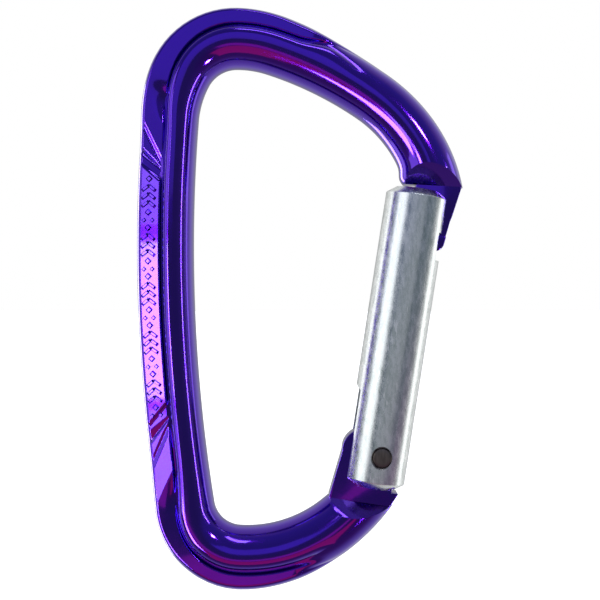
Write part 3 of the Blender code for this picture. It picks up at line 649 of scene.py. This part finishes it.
def mark_points(name, sizes, loop):
    """Loose points on the panel, each with the turn and size of its mark as attributes."""
    rows = []
    for run in range(sizes.runs):
        start = sizes.start / MM + run * sizes.pitch / MM
        for along, across, long, wide, turn in MARK_RUN:
            rows.append((start + along, across, long, wide, math.radians(turn)))
    table = np.array(rows)
    distances = table[:, 0]
    sections = section_sizes(distances)
    width, start = sections[:, 0], sections[:, 5]
    out = (start + width - PANEL_EDGE) / 2.0 + table[:, 1]
    height = flange_height(distances, out, sections[:, 3], start, width, loop)
    point, outward = edge_at(distances)
    flat = point + outward * out[:, None]
    fall = math.atan(loop.draft)
    verts = [(x * MM, -(high - MARK_ROOT) * MM, z * MM) for (x, z), high in zip(flat, height)]
    mesh = bpy.data.meshes.new(name)
    mesh.from_pydata(verts, [], [])
    turned_by = mesh.attributes.new("turned", "FLOAT_VECTOR", "POINT")
    scaled_by = mesh.attributes.new("scaled", "FLOAT_VECTOR", "POINT")
    for k, row in enumerate(table):
        # The mark's X runs out across the panel, its Z out of the panel's face.
        out_x, out_z = outward[k]
        across = Vector((out_x * math.cos(fall), math.sin(fall), out_z * math.cos(fall)))
        proud = Vector((out_x * math.sin(fall), -math.cos(fall), out_z * math.sin(fall)))
        face = Matrix((across, proud.cross(across), proud)).transposed()
        face = face @ Matrix.Rotation(row[4], 3, "Z")
        turned_by.data[k].vector = tuple(face.to_euler())
        scaled_by.data[k].vector = (row[3] * MM, row[2] * MM, sizes.proud)
    return mesh


def add_node(tree, kind, links=(), onward=(), inputs={}, **settings):
    """Adds a node, sets its properties and inputs, and links what feeds it and what it feeds."""
    node = tree.nodes.new(kind)
    for key, value in settings.items():
        setattr(node, key, value)
    for key, value in inputs.items():
        node.inputs[key].default_value = value
    for source, output, target in links:
        tree.links.new(source.outputs[output], node.inputs[target])
    for output, fed, target in onward:
        tree.links.new(node.outputs[output], fed.inputs[target])
    return node


def mark_tree():
    """Puts a small die-struck block at every point, sloped on all its sides."""
    tree = bpy.data.node_groups.new("Panel marks", "GeometryNodeTree")
    face = tree.interface
    face.new_socket("Geometry", in_out="INPUT", socket_type="NodeSocketGeometry")
    face.new_socket("Top share", in_out="INPUT", socket_type="NodeSocketFloat")
    face.new_socket("Finish", in_out="INPUT", socket_type="NodeSocketMaterial")
    face.new_socket("Geometry", in_out="OUTPUT", socket_type="NodeSocketGeometry")
    given = add_node(tree, "NodeGroupInput")
    points = add_node(tree, "GeometryNodeMeshToPoints", [(given, "Geometry", "Mesh")])
    # A four-sided cone stands on its corner: turned by 45 degrees its sides face X and Y.
    block = add_node(tree, "GeometryNodeMeshCone", inputs={
        "Vertices": 4, "Radius Bottom": math.sqrt(0.5), "Depth": 1.0})
    add_node(tree, "ShaderNodeMath", [(given, "Top share", 0)], [(0, block, "Radius Top")],
             {1: math.sqrt(0.5)}, operation="MULTIPLY")
    square = add_node(tree, "GeometryNodeTransform", [(block, "Mesh", "Geometry")],
                      inputs={"Rotation": (0.0, 0.0, math.pi / 4.0)})
    turned_by = add_node(tree, "GeometryNodeInputNamedAttribute", data_type="FLOAT_VECTOR",
                         inputs={"Name": "turned"})
    scaled_by = add_node(tree, "GeometryNodeInputNamedAttribute", data_type="FLOAT_VECTOR",
                         inputs={"Name": "scaled"})
    placed = add_node(tree, "GeometryNodeInstanceOnPoints", [
        (points, "Points", "Points"), (square, "Geometry", "Instance"),
        (turned_by, "Attribute", "Rotation"), (scaled_by, "Attribute", "Scale")])
    real = add_node(tree, "GeometryNodeRealizeInstances", [(placed, "Instances", "Geometry")])
    finish = add_node(tree, "GeometryNodeSetMaterial", [
        (real, "Geometry", "Geometry"), (given, "Finish", "Material")])
    add_node(tree, "NodeGroupOutput", [(finish, "Geometry", "Geometry")])
    return tree


def set_tree_input(modifier, name, value):
    for item in modifier.node_group.interface.items_tree:
        if item.item_type == "SOCKET" and item.in_out == "INPUT" and item.name == name:
            modifier[item.identifier] = value
            return
    raise ValueError(name)


# ---------------------------------------------------------------- finishes

def new_material(name):
    material = bpy.data.materials.new(name)
    material.use_nodes = True
    tree = material.node_tree
    return material, tree, tree.nodes["Principled BSDF"]


def object_place(tree, scale, lean=0.0):
    """Object coordinates turned about Y, and scaled so that one unit of a pattern is a length."""
    where = add_node(tree, "ShaderNodeTexCoord")
    return add_node(tree, "ShaderNodeMapping", [(where, "Object", "Vector")],
                    inputs={"Scale": scale, "Rotation": (0.0, lean, 0.0)})


def anodised_aluminium(finishes):
    """Polished, dyed and sealed aluminium: mirror-like, with a clear glassy oxide over the dye."""
    material, tree, shader = new_material("polished_anodised_aluminium")
    shader.inputs["Metallic"].default_value = 1.0
    shader.inputs["Coat Weight"].default_value = 0.5
    shader.inputs["Coat Roughness"].default_value = 0.04
    shader.inputs["Coat IOR"].default_value = 1.62
    # The dye takes a little unevenly, in clouds about 6 mm across.
    place = object_place(tree, (160.0, 160.0, 160.0))
    clouds = add_node(tree, "ShaderNodeTexNoise", [(place, "Vector", "Vector")],
                      inputs={"Scale": 1.0, "Detail": 3.0})
    add_node(tree, "ShaderNodeMix", [(clouds, "Fac", "Factor")], [(2, shader, "Base Color")],
             {6: linear(finishes.dye_deep), 7: linear(finishes.dye_light)}, data_type="RGBA")
    # Handling dulls the polish in patches about 3 mm across.
    fine = object_place(tree, (330.0, 330.0, 330.0))
    patches = add_node(tree, "ShaderNodeTexNoise", [(fine, "Vector", "Vector")],
                       inputs={"Scale": 1.0, "Detail": 5.0, "Roughness": 0.6})
    add_node(tree, "ShaderNodeMapRange", [(patches, "Fac", "Value")],
             [("Result", shader, "Roughness")],
             {"From Min": 0.35, "From Max": 0.75, "To Min": 0.1, "To Max": 0.17})
    # Tumbling before the dye leaves a faint waviness, about 1.2 mm from crest to crest.
    wave_place = object_place(tree, (830.0, 830.0, 830.0))
    waves = add_node(tree, "ShaderNodeTexNoise", [(wave_place, "Vector", "Vector")],
                     inputs={"Scale": 1.0, "Detail": 1.0})
    add_node(tree, "ShaderNodeBump", [(waves, "Fac", "Height")], [("Normal", shader, "Normal")],
             {"Strength": 0.2, "Distance": 0.00002})
    return material


def drawn_aluminium(finishes):
    """Bare bar, turned and lightly polished: bright, with fine rings, rubbed grey and nicks."""
    material, tree, shader = new_material("bright_drawn_aluminium")
    shader.inputs["Metallic"].default_value = 1.0
    # Rings from the lathe about 0.2 mm apart, drawn coarser than real ones so that they show.
    line_place = object_place(tree, (120.0, 120.0, 5000.0), -GATE_LEAN)
    lines = add_node(tree, "ShaderNodeTexNoise", [(line_place, "Vector", "Vector")],
                     inputs={"Scale": 1.0, "Detail": 2.0})
    # Mottled grey where the bar has been rubbed, in patches about 0.7 mm across and 2 mm long.
    patch_place = object_place(tree, (1500.0, 1500.0, 520.0), -GATE_LEAN)
    patches = add_node(tree, "ShaderNodeTexNoise", [(patch_place, "Vector", "Vector")],
                       inputs={"Scale": 1.0, "Detail": 6.0, "Roughness": 0.65})
    rubbed = add_node(tree, "ShaderNodeMapRange", [(patches, "Fac", "Value")],
                      inputs={"From Min": 0.35, "From Max": 0.65})
    tone = add_node(tree, "ShaderNodeMix", [(rubbed, "Result", "Factor")],
                    inputs={6: linear(finishes.bare_dark), 7: linear(finishes.bare_light)},
                    data_type="RGBA")
    # Nicks from handling: bright, about 0.3 mm wide and 1.5 mm long.
    nick_place = object_place(tree, (2200.0, 2200.0, 420.0), 0.3 - GATE_LEAN)
    nicks = add_node(tree, "ShaderNodeTexNoise", [(nick_place, "Vector", "Vector")],
                     inputs={"Scale": 1.0, "Detail": 1.0})
    nicked = add_node(tree, "ShaderNodeMapRange", [(nicks, "Fac", "Value")],
                      inputs={"From Min": 0.68, "From Max": 0.72})
    add_node(tree, "ShaderNodeMix", [(nicked, "Result", "Factor"), (tone, 2, 6)],
             [(2, shader, "Base Color")], {7: linear("#ffffff")}, data_type="RGBA")
    add_node(tree, "ShaderNodeMapRange", [(patches, "Fac", "Value")],
             [("Result", shader, "Roughness")],
             {"From Min": 0.3, "From Max": 0.7, "To Min": 0.2, "To Max": 0.34})
    both = add_node(tree, "ShaderNodeMath", [(lines, "Fac", 0), (patches, "Fac", 1)],
                    operation="ADD")
    add_node(tree, "ShaderNodeBump", [(both, "Value", "Height")], [("Normal", shader, "Normal")],
             {"Strength": 0.22, "Distance": 0.000012})
    return material


def dark_rivet_steel(finishes):
    """Oiled steel rivet, pressed flat: dull brown-grey with faint press lines."""
    material, tree, shader = new_material("pressed_rivet_steel")
    shader.inputs["Metallic"].default_value = 1.0
    # Press lines about 0.4 mm across and 2 mm long.
    place = object_place(tree, (2600.0, 2600.0, 500.0))
    streaks = add_node(tree, "ShaderNodeTexNoise", [(place, "Vector", "Vector")],
                       inputs={"Scale": 1.0, "Detail": 4.0})
    add_node(tree, "ShaderNodeMix", [(streaks, "Fac", "Factor")], [(2, shader, "Base Color")],
             {6: linear(finishes.rivet_dark), 7: linear(finishes.rivet_light)}, data_type="RGBA")
    add_node(tree, "ShaderNodeMapRange", [(streaks, "Fac", "Value")],
             [("Result", shader, "Roughness")], {"To Min": 0.28, "To Max": 0.5})
    add_node(tree, "ShaderNodeBump", [(streaks, "Fac", "Height")], [("Normal", shader, "Normal")],
             {"Strength": 0.5, "Distance": 0.00003})
    return material


def turned_steel(name, finishes, spacing):
    """Bright steel with fine rings from the lathe or the wire die."""
    material, tree, shader = new_material(name)
    shader.inputs["Metallic"].default_value = 1.0
    place = object_place(tree, (1.0 / spacing,) * 3, -GATE_LEAN)
    rings = add_node(tree, "ShaderNodeTexWave", [(place, "Vector", "Vector")],
                     inputs={"Scale": 0.3, "Distortion": 1.5}, bands_direction="Z")
    add_node(tree, "ShaderNodeMix", [(rings, "Fac", "Factor")], [(2, shader, "Base Color")],
             {6: linear(finishes.steel_dark), 7: linear(finishes.steel_light)}, data_type="RGBA")
    add_node(tree, "ShaderNodeMapRange", [(rings, "Fac", "Value")],
             [("Result", shader, "Roughness")], {"To Min": 0.2, "To Max": 0.35})
    return material


def studio_paper(finishes):
    """Matt white paper sweep, with a grain too fine to see but for a slight unevenness."""
    material, tree, shader = new_material("matt_white_paper")
    place = object_place(tree, (60.0, 60.0, 60.0))
    grain = add_node(tree, "ShaderNodeTexNoise", [(place, "Vector", "Vector")],
                     inputs={"Scale": 1.0, "Detail": 4.0})
    add_node(tree, "ShaderNodeMix", [(grain, "Fac", "Factor")], [(2, shader, "Base Color")],
             {6: linear(finishes.paper), 7: linear("#ffffff")}, data_type="RGBA")
    shader.inputs["Roughness"].default_value = 0.9
    shader.inputs["Specular IOR Level"].default_value = 0.2
    return material


def body_finish():
    """The body's finish, made once for the body and its marks."""
    made = bpy.data.materials.get("polished_anodised_aluminium")
    return made or anodised_aluminium(bpy.context.scene.carabiner_finishes)


def set_material(obj, material):
    obj.data.materials.clear()
    obj.data.materials.append(material)


# ---------------------------------------------------------------- studio

CENTRE = (CAD_BOX[0] + CAD_BOX[1]) / 2.0
FLOOR_REACH, SENSOR = 12.0, 36.0
# Brightness of the tent from the camera's side (0) to the far side (1).
TENT_DEPTH = ((0.0, "#888e94"), (0.1, "#888e94"), (0.3, "#9ca2a6"), (0.5, "#b8b8b8"),
              (0.62, "#d2d2d2"), (0.86, "#f0f0f0"), (1.0, "#a8a8a8"))
# Tint of the dim side from below (0) to above (1).
TENT_RISE = ((0.0, "#d8a0c0"), (0.3, "#d0a8cc"), (0.42, "#c4c4d0"), (0.48, "#bcc8cc"),
             (0.54, "#bcc8cc"), (0.62, "#c8d0ff"), (1.0, "#b8c4ff"))
# Name, azimuth and elevation in degrees, width and height in metres, radiance and colour.
SOFT_BOXES = (
    ("left_box", -54.0, 4.0, 0.40, 0.5, 1.35),
    ("far_left_box", -106.0, -4.0, 0.24, 0.6, 1.1),
    ("right_box", 104.0, 0.0, 0.18, 0.6, 1.15),
    ("top_box", 20.0, 62.0, 0.30, 0.10, 5.0),
)
# Boxes and lamps that only the anodised pieces take.
ANODISED_BOXES = (
    ("edge_box", -134.0, -8.0, 0.16, 0.6, 6.0),
    ("panel_box", -26.0, -2.0, 0.085, 0.115, 14.0),
    ("panel_box_high", -26.0, 10.0, 0.085, 0.11, 2.6),
    ("panel_box_low", -25.0, -12.5, 0.10, 0.09, 4.5),
    ("arm_box", -38.0, -26.0, 0.17, 0.27, 13.0),
    ("front_high_box", -3.0, 16.0, 0.30, 0.21, 0.50, "#b4a0ff"),
    ("right_strip", 72.0, 0.0, 0.035, 0.5, 12.0),
    ("corner_lamp", 46.0, -36.0, 0.08, 0.08, 40.0),
    ("heel_lamp", 34.0, 26.0, 0.06, 0.06, 40.0),
    ("magenta_box", -10.0, -19.0, 0.36, 0.11, 1.1, "#ff3ca8"),
    ("red_box", -2.0, -42.0, 0.46, 0.34, 1.5, "#ff1850"),
)
# Boxes that only the gate and the rivet take.
BARE_BOXES = (
    ("front_box", 10.0, 4.0, 0.62, 0.8, 0.16),
    ("front_line_box", -14.0, 4.0, 0.02, 0.8, 0.22),
)


def soft_box(name, azimuth, elevation, width, height, radiance, colour="#ffffff", distance=0.6):
    """A lit panel that faces the object; azimuth runs from the camera's side towards the gate."""
    turn, rise = math.radians(azimuth), math.radians(elevation)
    away = Vector((math.sin(turn) * math.cos(rise), -math.cos(turn) * math.cos(rise),
                   math.sin(rise)))
    data = bpy.data.lights.new(name, "AREA")
    data.shape = "RECTANGLE"
    data.size, data.size_y = width, height
    data.energy = radiance * math.pi * width * height
    data.color = linear(colour)[:3]
    lamp = bpy.data.objects.new(name, data)
    bpy.context.scene.collection.objects.link(lamp)
    facing = away.to_track_quat("Z", "Y").to_matrix().to_4x4()
    lamp.matrix_world = Matrix.Translation(CENTRE + away * distance) @ facing
    lamp.visible_camera = False
    return lamp


def fill_ramp(ramp, stops):
    """Gives a new colour ramp its stops, of which the first is at 0 and the last at 1."""
    for place, tone in stops[1:-1]:
        ramp.elements.new(place).color = linear(tone)
    ramp.elements[0].color = linear(stops[0][1])
    ramp.elements[-1].color = linear(stops[-1][1])


def studio_world(stage):
    """White behind the object and dim in front of it, as in a light tent with the camera's gap."""
    world = bpy.data.worlds.new("light_tent")
    bpy.context.scene.world = world
    world.use_nodes = True
    tree = world.node_tree
    tree.nodes.clear()
    where = add_node(tree, "ShaderNodeTexCoord")
    parts = add_node(tree, "ShaderNodeSeparateXYZ", [(where, "Generated", "Vector")])
    ramps = []
    for axis, stops in (("Y", TENT_DEPTH), ("Z", TENT_RISE)):
        share = add_node(tree, "ShaderNodeMapRange", [(parts, axis, "Value")],
                         inputs={"From Min": -1.0, "From Max": 1.0})
        ramps.append(add_node(tree, "ShaderNodeValToRGB", [(share, "Result", "Fac")]))
        fill_ramp(ramps[-1].color_ramp, stops)
    # The tint only shows on the dim side.
    front = add_node(tree, "ShaderNodeMapRange", [(parts, "Y", "Value")], inputs={
        "From Min": -0.25, "From Max": 0.05, "To Min": 1.0, "To Max": 0.0})
    seen = add_node(tree, "ShaderNodeMix", [
        (front, "Result", "Factor"), (ramps[0], "Color", 6), (ramps[1], "Color", 7)],
        data_type="RGBA", blend_type="MULTIPLY")
    reflected = add_node(tree, "ShaderNodeBackground", [(seen, 2, "Color")],
                         inputs={"Strength": stage.tent_strength})
    backdrop = add_node(tree, "ShaderNodeBackground",
                        inputs={"Color": linear("#ffffff"), "Strength": 1.0})
    rays = add_node(tree, "ShaderNodeLightPath")
    shown = add_node(tree, "ShaderNodeMixShader", [
        (rays, "Is Camera Ray", 0), (reflected, 0, 1), (backdrop, 0, 2)])
    add_node(tree, "ShaderNodeOutputWorld", [(shown, 0, "Surface")])


# ---------------------------------------------------------------- settings

def length_setting(name, note, millimetres):
    return bpy.props.FloatProperty(name=name, description=note, default=millimetres * MM, min=0.0,
                                   unit="LENGTH", precision=5)


def angle_setting(name, note, degrees):
    return bpy.props.FloatProperty(name=name, description=note, default=math.radians(degrees),
                                   subtype="ANGLE")


def colour_setting(name, note, hex_colour):
    return bpy.props.StringProperty(name=name, description=note + ", as an sRGB hex value",
                                    default=hex_colour)


class LoopSizes(bpy.types.PropertyGroup):
    """Sizes of the forged loop with its nose and hinge tab."""
    thickness: length_setting("Bar thickness", "Thickness of the bar over its bead", 10.0)
    floor: length_setting("Groove floor", "Thickness at the floor beside the bead", 5.7)
    spine_floor: length_setting("Spine floor", "Thickness at the floor beside the panel", 6.75)
    flange: length_setting("Flange", "Thickness of the flange at the corners", 6.8)
    panel: length_setting("Panel", "Thickness of the flat panel down the spine", 7.0)
    draft: bpy.props.FloatProperty(name="Draft", description="Fall of the panel per length outwards",
                                   default=0.16, min=0.0, max=0.3)
    spacing: length_setting("Section spacing", "Spacing of the sections along the spine", 0.22)
    lip: length_setting("Nose lip", "Metal pushed inwards at the nose", 0.6)
    shoulder_height: length_setting("Shoulder height", "Nose shoulder above the rivet", 45.852)
    shoulder_tilt: angle_setting("Shoulder tilt", "Tilt of the nose shoulder", 5.7)
    nose_slope: angle_setting("Nose slope", "Slope milled beside the blade", 47.0)
    blade: length_setting("Blade thickness", "Thickness of the nose blade", 3.5)
    blade_length: length_setting("Blade length", "Length of the blade from its shoulder", 10.6)
    blade_inside: length_setting("Blade inside", "Reach of the blade into the loop", 1.1)
    key_out: length_setting("Key reach", "Reach of the key out of the loop", 5.5)
    key_wing: length_setting("Key wing", "How far the key stands out on each side", 0.9)
    key_tip_radius: length_setting("Key round", "Radius of the blade's outer corner", 1.6)
    tab: length_setting("Tab thickness", "Thickness of the hinge tab", 4.6)
    tab_reach: length_setting("Tab reach", "Reach of the tab into the loop", 6.6)
    tab_corner: length_setting("Tab corner", "Radius of the tab's inner corner", 3.65)
    tab_out: length_setting("Tab outside", "Reach of the tab out of the loop", 2.6)
    tab_shoulder: length_setting("Tab shoulder", "Depth of the shoulder below the rivet", 8.05)
    tab_slope: angle_setting("Tab slope", "Slope milled beside the tab", 43.0)
    cam_tilt: angle_setting("Cam tilt", "Tilt of the cam that the plunger rides on", 20.0)


class GateSizes(bpy.types.PropertyGroup):
    """Sizes of the turned gate and its rivet."""
    radius: length_setting("Gate radius", "Radius of the drawn bar", 5.25)
    chamfer: length_setting("Chamfer height", "Height of the end chamfers", 1.15)
    chamfer_width: length_setting("Chamfer width", "Width of the end chamfers", 1.6)
    rivet_radius: length_setting("Rivet radius", "Radius of the hinge rivet", 1.62)
    rivet_mouth: length_setting("Countersink radius", "Radius at the gate's surface", 1.95)
    rivet_sink: length_setting("Countersink depth", "Depth of the countersink", 0.4)


class MarkSizes(bpy.types.PropertyGroup):
    """Raised marks on the spine's panel."""
    runs: bpy.props.IntProperty(name="Runs", description="How often the run of marks repeats",
                                default=5, min=1, max=5)
    start: length_setting("Start", "Distance along the edge where the marks begin", 62.4)
    pitch: length_setting("Pitch", "Distance from one run to the next", 7.9)
    proud: length_setting("Height", "Height of the marks with their root in the panel", 0.32)
    top_share: bpy.props.FloatProperty(
        name="Top share", description="Size of a mark's top to its foot", default=0.5, min=0.2,
        max=1.0)


class CarabinerFinishes(bpy.types.PropertyGroup):
    """Colours of the metals and of the paper."""
    dye_deep: colour_setting("Dye, deep", "Dyed oxide where it is deepest", "#4008a4")
    dye_light: colour_setting("Dye, light", "Dyed oxide where it is lightest", "#4c0eb0")
    bare_dark: colour_setting("Bare bar, rubbed", "Drawn aluminium in rubbed patches", "#ccd2d1")
    bare_light: colour_setting("Bare bar, bright", "Drawn aluminium where it is bright", "#f2f5f4")
    rivet_dark: colour_setting("Rivet, dark", "Rivet steel between press lines", "#4a423e")
    rivet_light: colour_setting("Rivet, light", "Rivet steel on press lines", "#8a8078")
    steel_dark: colour_setting("Steel, dark", "Plunger and spring between rings", "#98999c")
    steel_light: colour_setting("Steel, light", "Plunger and spring on rings", "#cfd0d2")
    paper: colour_setting("Paper", "Studio paper", "#f8f8f8")


class StageSettings(bpy.types.PropertyGroup):
    """Camera, floor and light."""
    lens: bpy.props.FloatProperty(name="Lens", description="Focal length", default=75.0,
                                  min=10.0, unit="CAMERA")
    camera_distance: length_setting("Camera distance", "From the loop's middle plane", 211.1)
    floor_drop: length_setting("Floor drop", "Gap between the hanging loop and the floor", 60.0)
    tent_strength: bpy.props.FloatProperty(name="Tent", description="Brightness of the tent",
                                           default=1.0, min=0.0)


# ---------------------------------------------------------------- operators

class CARABINER_OT_body(bpy.types.Operator):
    """Builds the forged loop with its milled nose and hinge tab"""
    bl_idname = "carabiner.body"
    bl_label = "Forged body"

    def execute(self, context):
        sizes = context.scene.loop_sizes
        body = new_object("forged_body", loop_mesh("forged_body", sizes))
        cut_all(body, body_pieces(sizes), 38.0)
        set_material(body, body_finish())
        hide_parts("body")
        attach(body, "loop")
        return {"FINISHED"}


class CARABINER_OT_marks(bpy.types.Operator):
    """Strikes a run of plain raised marks down the spine's panel"""
    bl_idname = "carabiner.marks"
    bl_label = "Panel marks"

    def execute(self, context):
        scene = context.scene
        points = mark_points("panel_marks", scene.mark_sizes, scene.loop_sizes)
        marks = new_object("panel_marks", points)
        tree = marks.modifiers.new("marks", "NODES")
        tree.node_group = mark_tree()
        set_tree_input(tree, "Top share", scene.mark_sizes.top_share)
        set_tree_input(tree, "Finish", body_finish())
        finish_piece(marks, (), 20.0)
        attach(marks, "loop")
        return {"FINISHED"}


class CARABINER_OT_gate(bpy.types.Operator):
    """Turns the gate from drawn bar and cuts its slots, bore and rivet hole"""
    bl_idname = "carabiner.gate"
    bl_label = "Gate"

    def execute(self, context):
        sizes = context.scene.gate_sizes
        place = GATE_FRAME @ Matrix.Translation((-gate_axis_inside(), 0.0, 0.0))
        gate = turned("drawn_gate", gate_profile(sizes), place, 160)
        cut_all(gate, [(cutter, "DIFFERENCE") for cutter in gate_cutters(sizes)], 24.0)
        finishes = context.scene.carabiner_finishes
        set_material(gate, drawn_aluminium(finishes))
        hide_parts("gate")
        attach(gate, "gate")
        return {"FINISHED"}


class CARABINER_OT_rivet(bpy.types.Operator):
    """Turns the hinge rivet, with pressed ends just below the gate's surface"""
    bl_idname = "carabiner.rivet"
    bl_label = "Hinge rivet"

    def execute(self, context):
        low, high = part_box("hinge_rivet")
        half, radius = (high.y - low.y) / 2.0, context.scene.gate_sizes.rivet_radius
        upper = [(0.0, half), (radius * 0.55, half - 0.01 * MM), (radius * 0.8, half - 0.04 * MM),
                 (radius * 0.93, half - 0.12 * MM), (radius, half - 0.3 * MM)]
        profile = upper + [(r, -h) for r, h in reversed(upper)]
        rivet = finish_piece(turned("pressed_rivet", profile, ACROSS, 96))
        finishes = context.scene.carabiner_finishes
        set_material(rivet, dark_rivet_steel(finishes))
        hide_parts("hinge_rivet")
        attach(rivet, "gate")
        return {"FINISHED"}


class CARABINER_OT_plunger_and_spring(bpy.types.Operator):
    """Gives the plunger and the coil spring their steel finishes"""
    bl_idname = "carabiner.plunger_and_spring"
    bl_label = "Plunger and spring"

    def execute(self, context):
        finishes = context.scene.carabiner_finishes
        for node, finish, spacing in (("plunger", "turned_steel", 0.2 * MM),
                                      ("gate_spring", "drawn_spring_wire", 0.15 * MM)):
            set_material(frame["nodes"][node], turned_steel(finish, finishes, spacing))
        return {"FINISHED"}


class CARABINER_OT_stage(bpy.types.Operator):
    """Sets up the paper floor, the light tent, the soft boxes and the camera"""
    bl_idname = "carabiner.stage"
    bl_label = "Stage"

    def execute(self, context):
        scene, stage = context.scene, context.scene.stage_settings
        mesh = bpy.data.meshes.new("paper_floor")
        level, reach = CAD_BOX[0].z - stage.floor_drop, FLOOR_REACH
        mesh.from_pydata([(-reach, -reach, level), (reach, -reach, level), (reach, reach, level),
                          (-reach, reach, level)], [], [(0, 1, 2, 3)])
        floor = new_object("paper_floor", mesh)
        set_material(floor, studio_paper(scene.carabiner_finishes))
        floor.visible_glossy = False
        studio_world(stage)
        for row in SOFT_BOXES:
            soft_box(*row)
        for group, pieces, rows in (
                ("anodised_pieces", ("forged_body", "panel_marks"), ANODISED_BOXES),
                ("bare_pieces", ("drawn_gate", "pressed_rivet"), BARE_BOXES)):
            lit = bpy.data.collections.new(group)
            for name in pieces:
                lit.objects.link(scene.objects[name])
            for row in rows:
                soft_box(*row).light_linking.receiver_collection = lit
        ceiling = soft_box("ceiling", 0.0, 90.0, 40.0, 40.0, 1.0, "#ffffff", 2.0)
        ceiling.visible_glossy = False
        data = bpy.data.cameras.new("camera")
        data.lens, data.sensor_width = stage.lens, SENSOR
        data.clip_start, data.clip_end = 0.01, 20.0
        camera = bpy.data.objects.new("camera", data)
        scene.collection.objects.link(camera)
        camera.location = (CENTRE.x, -stage.camera_distance, CENTRE.z - 0.2 * MM)
        camera.rotation_euler = (math.pi / 2.0, 0.0, 0.0)
        scene.camera = camera
        scene.view_settings.view_transform = "Standard"
        return {"FINISHED"}


class CARABINER_PT_pieces(bpy.types.Panel):
    """Builds each piece of the carabiner"""
    bl_label = "Carabiner"
    bl_idname = "CARABINER_PT_pieces"
    bl_space_type = "VIEW_3D"
    bl_region_type = "UI"
    bl_category = "Carabiner"

    def draw(self, context):
        for name, group in GROUPS.items():
            settings = getattr(context.scene, name)
            column = self.layout.box().column()
            for key in group.__annotations__:
                column.prop(settings, key)
        for piece in PIECES:
            self.layout.operator(piece.bl_idname)


GROUPS = {
    "loop_sizes": LoopSizes, "gate_sizes": GateSizes, "mark_sizes": MarkSizes,
    "carabiner_finishes": CarabinerFinishes, "stage_settings": StageSettings,
}
PIECES = (CARABINER_OT_body, CARABINER_OT_marks, CARABINER_OT_gate, CARABINER_OT_rivet,
          CARABINER_OT_plunger_and_spring, CARABINER_OT_stage)
CLASSES = tuple(GROUPS.values()) + PIECES + (CARABINER_PT_pieces,)


def register():
    for item in CLASSES:
        bpy.utils.register_class(item)
    for name, group in GROUPS.items():
        setattr(bpy.types.Scene, name, bpy.props.PointerProperty(type=group))


def unregister():
    for name in GROUPS:
        delattr(bpy.types.Scene, name)
    for item in reversed(CLASSES):
        bpy.utils.unregister_class(item)


def main():
    register()
    bpy.ops.carabiner.body()
    bpy.ops.carabiner.marks()
    bpy.ops.carabiner.gate()
    bpy.ops.carabiner.rivet()
    bpy.ops.carabiner.plunger_and_spring()
    bpy.ops.carabiner.stage()


if __name__ == "__main__":
    main()
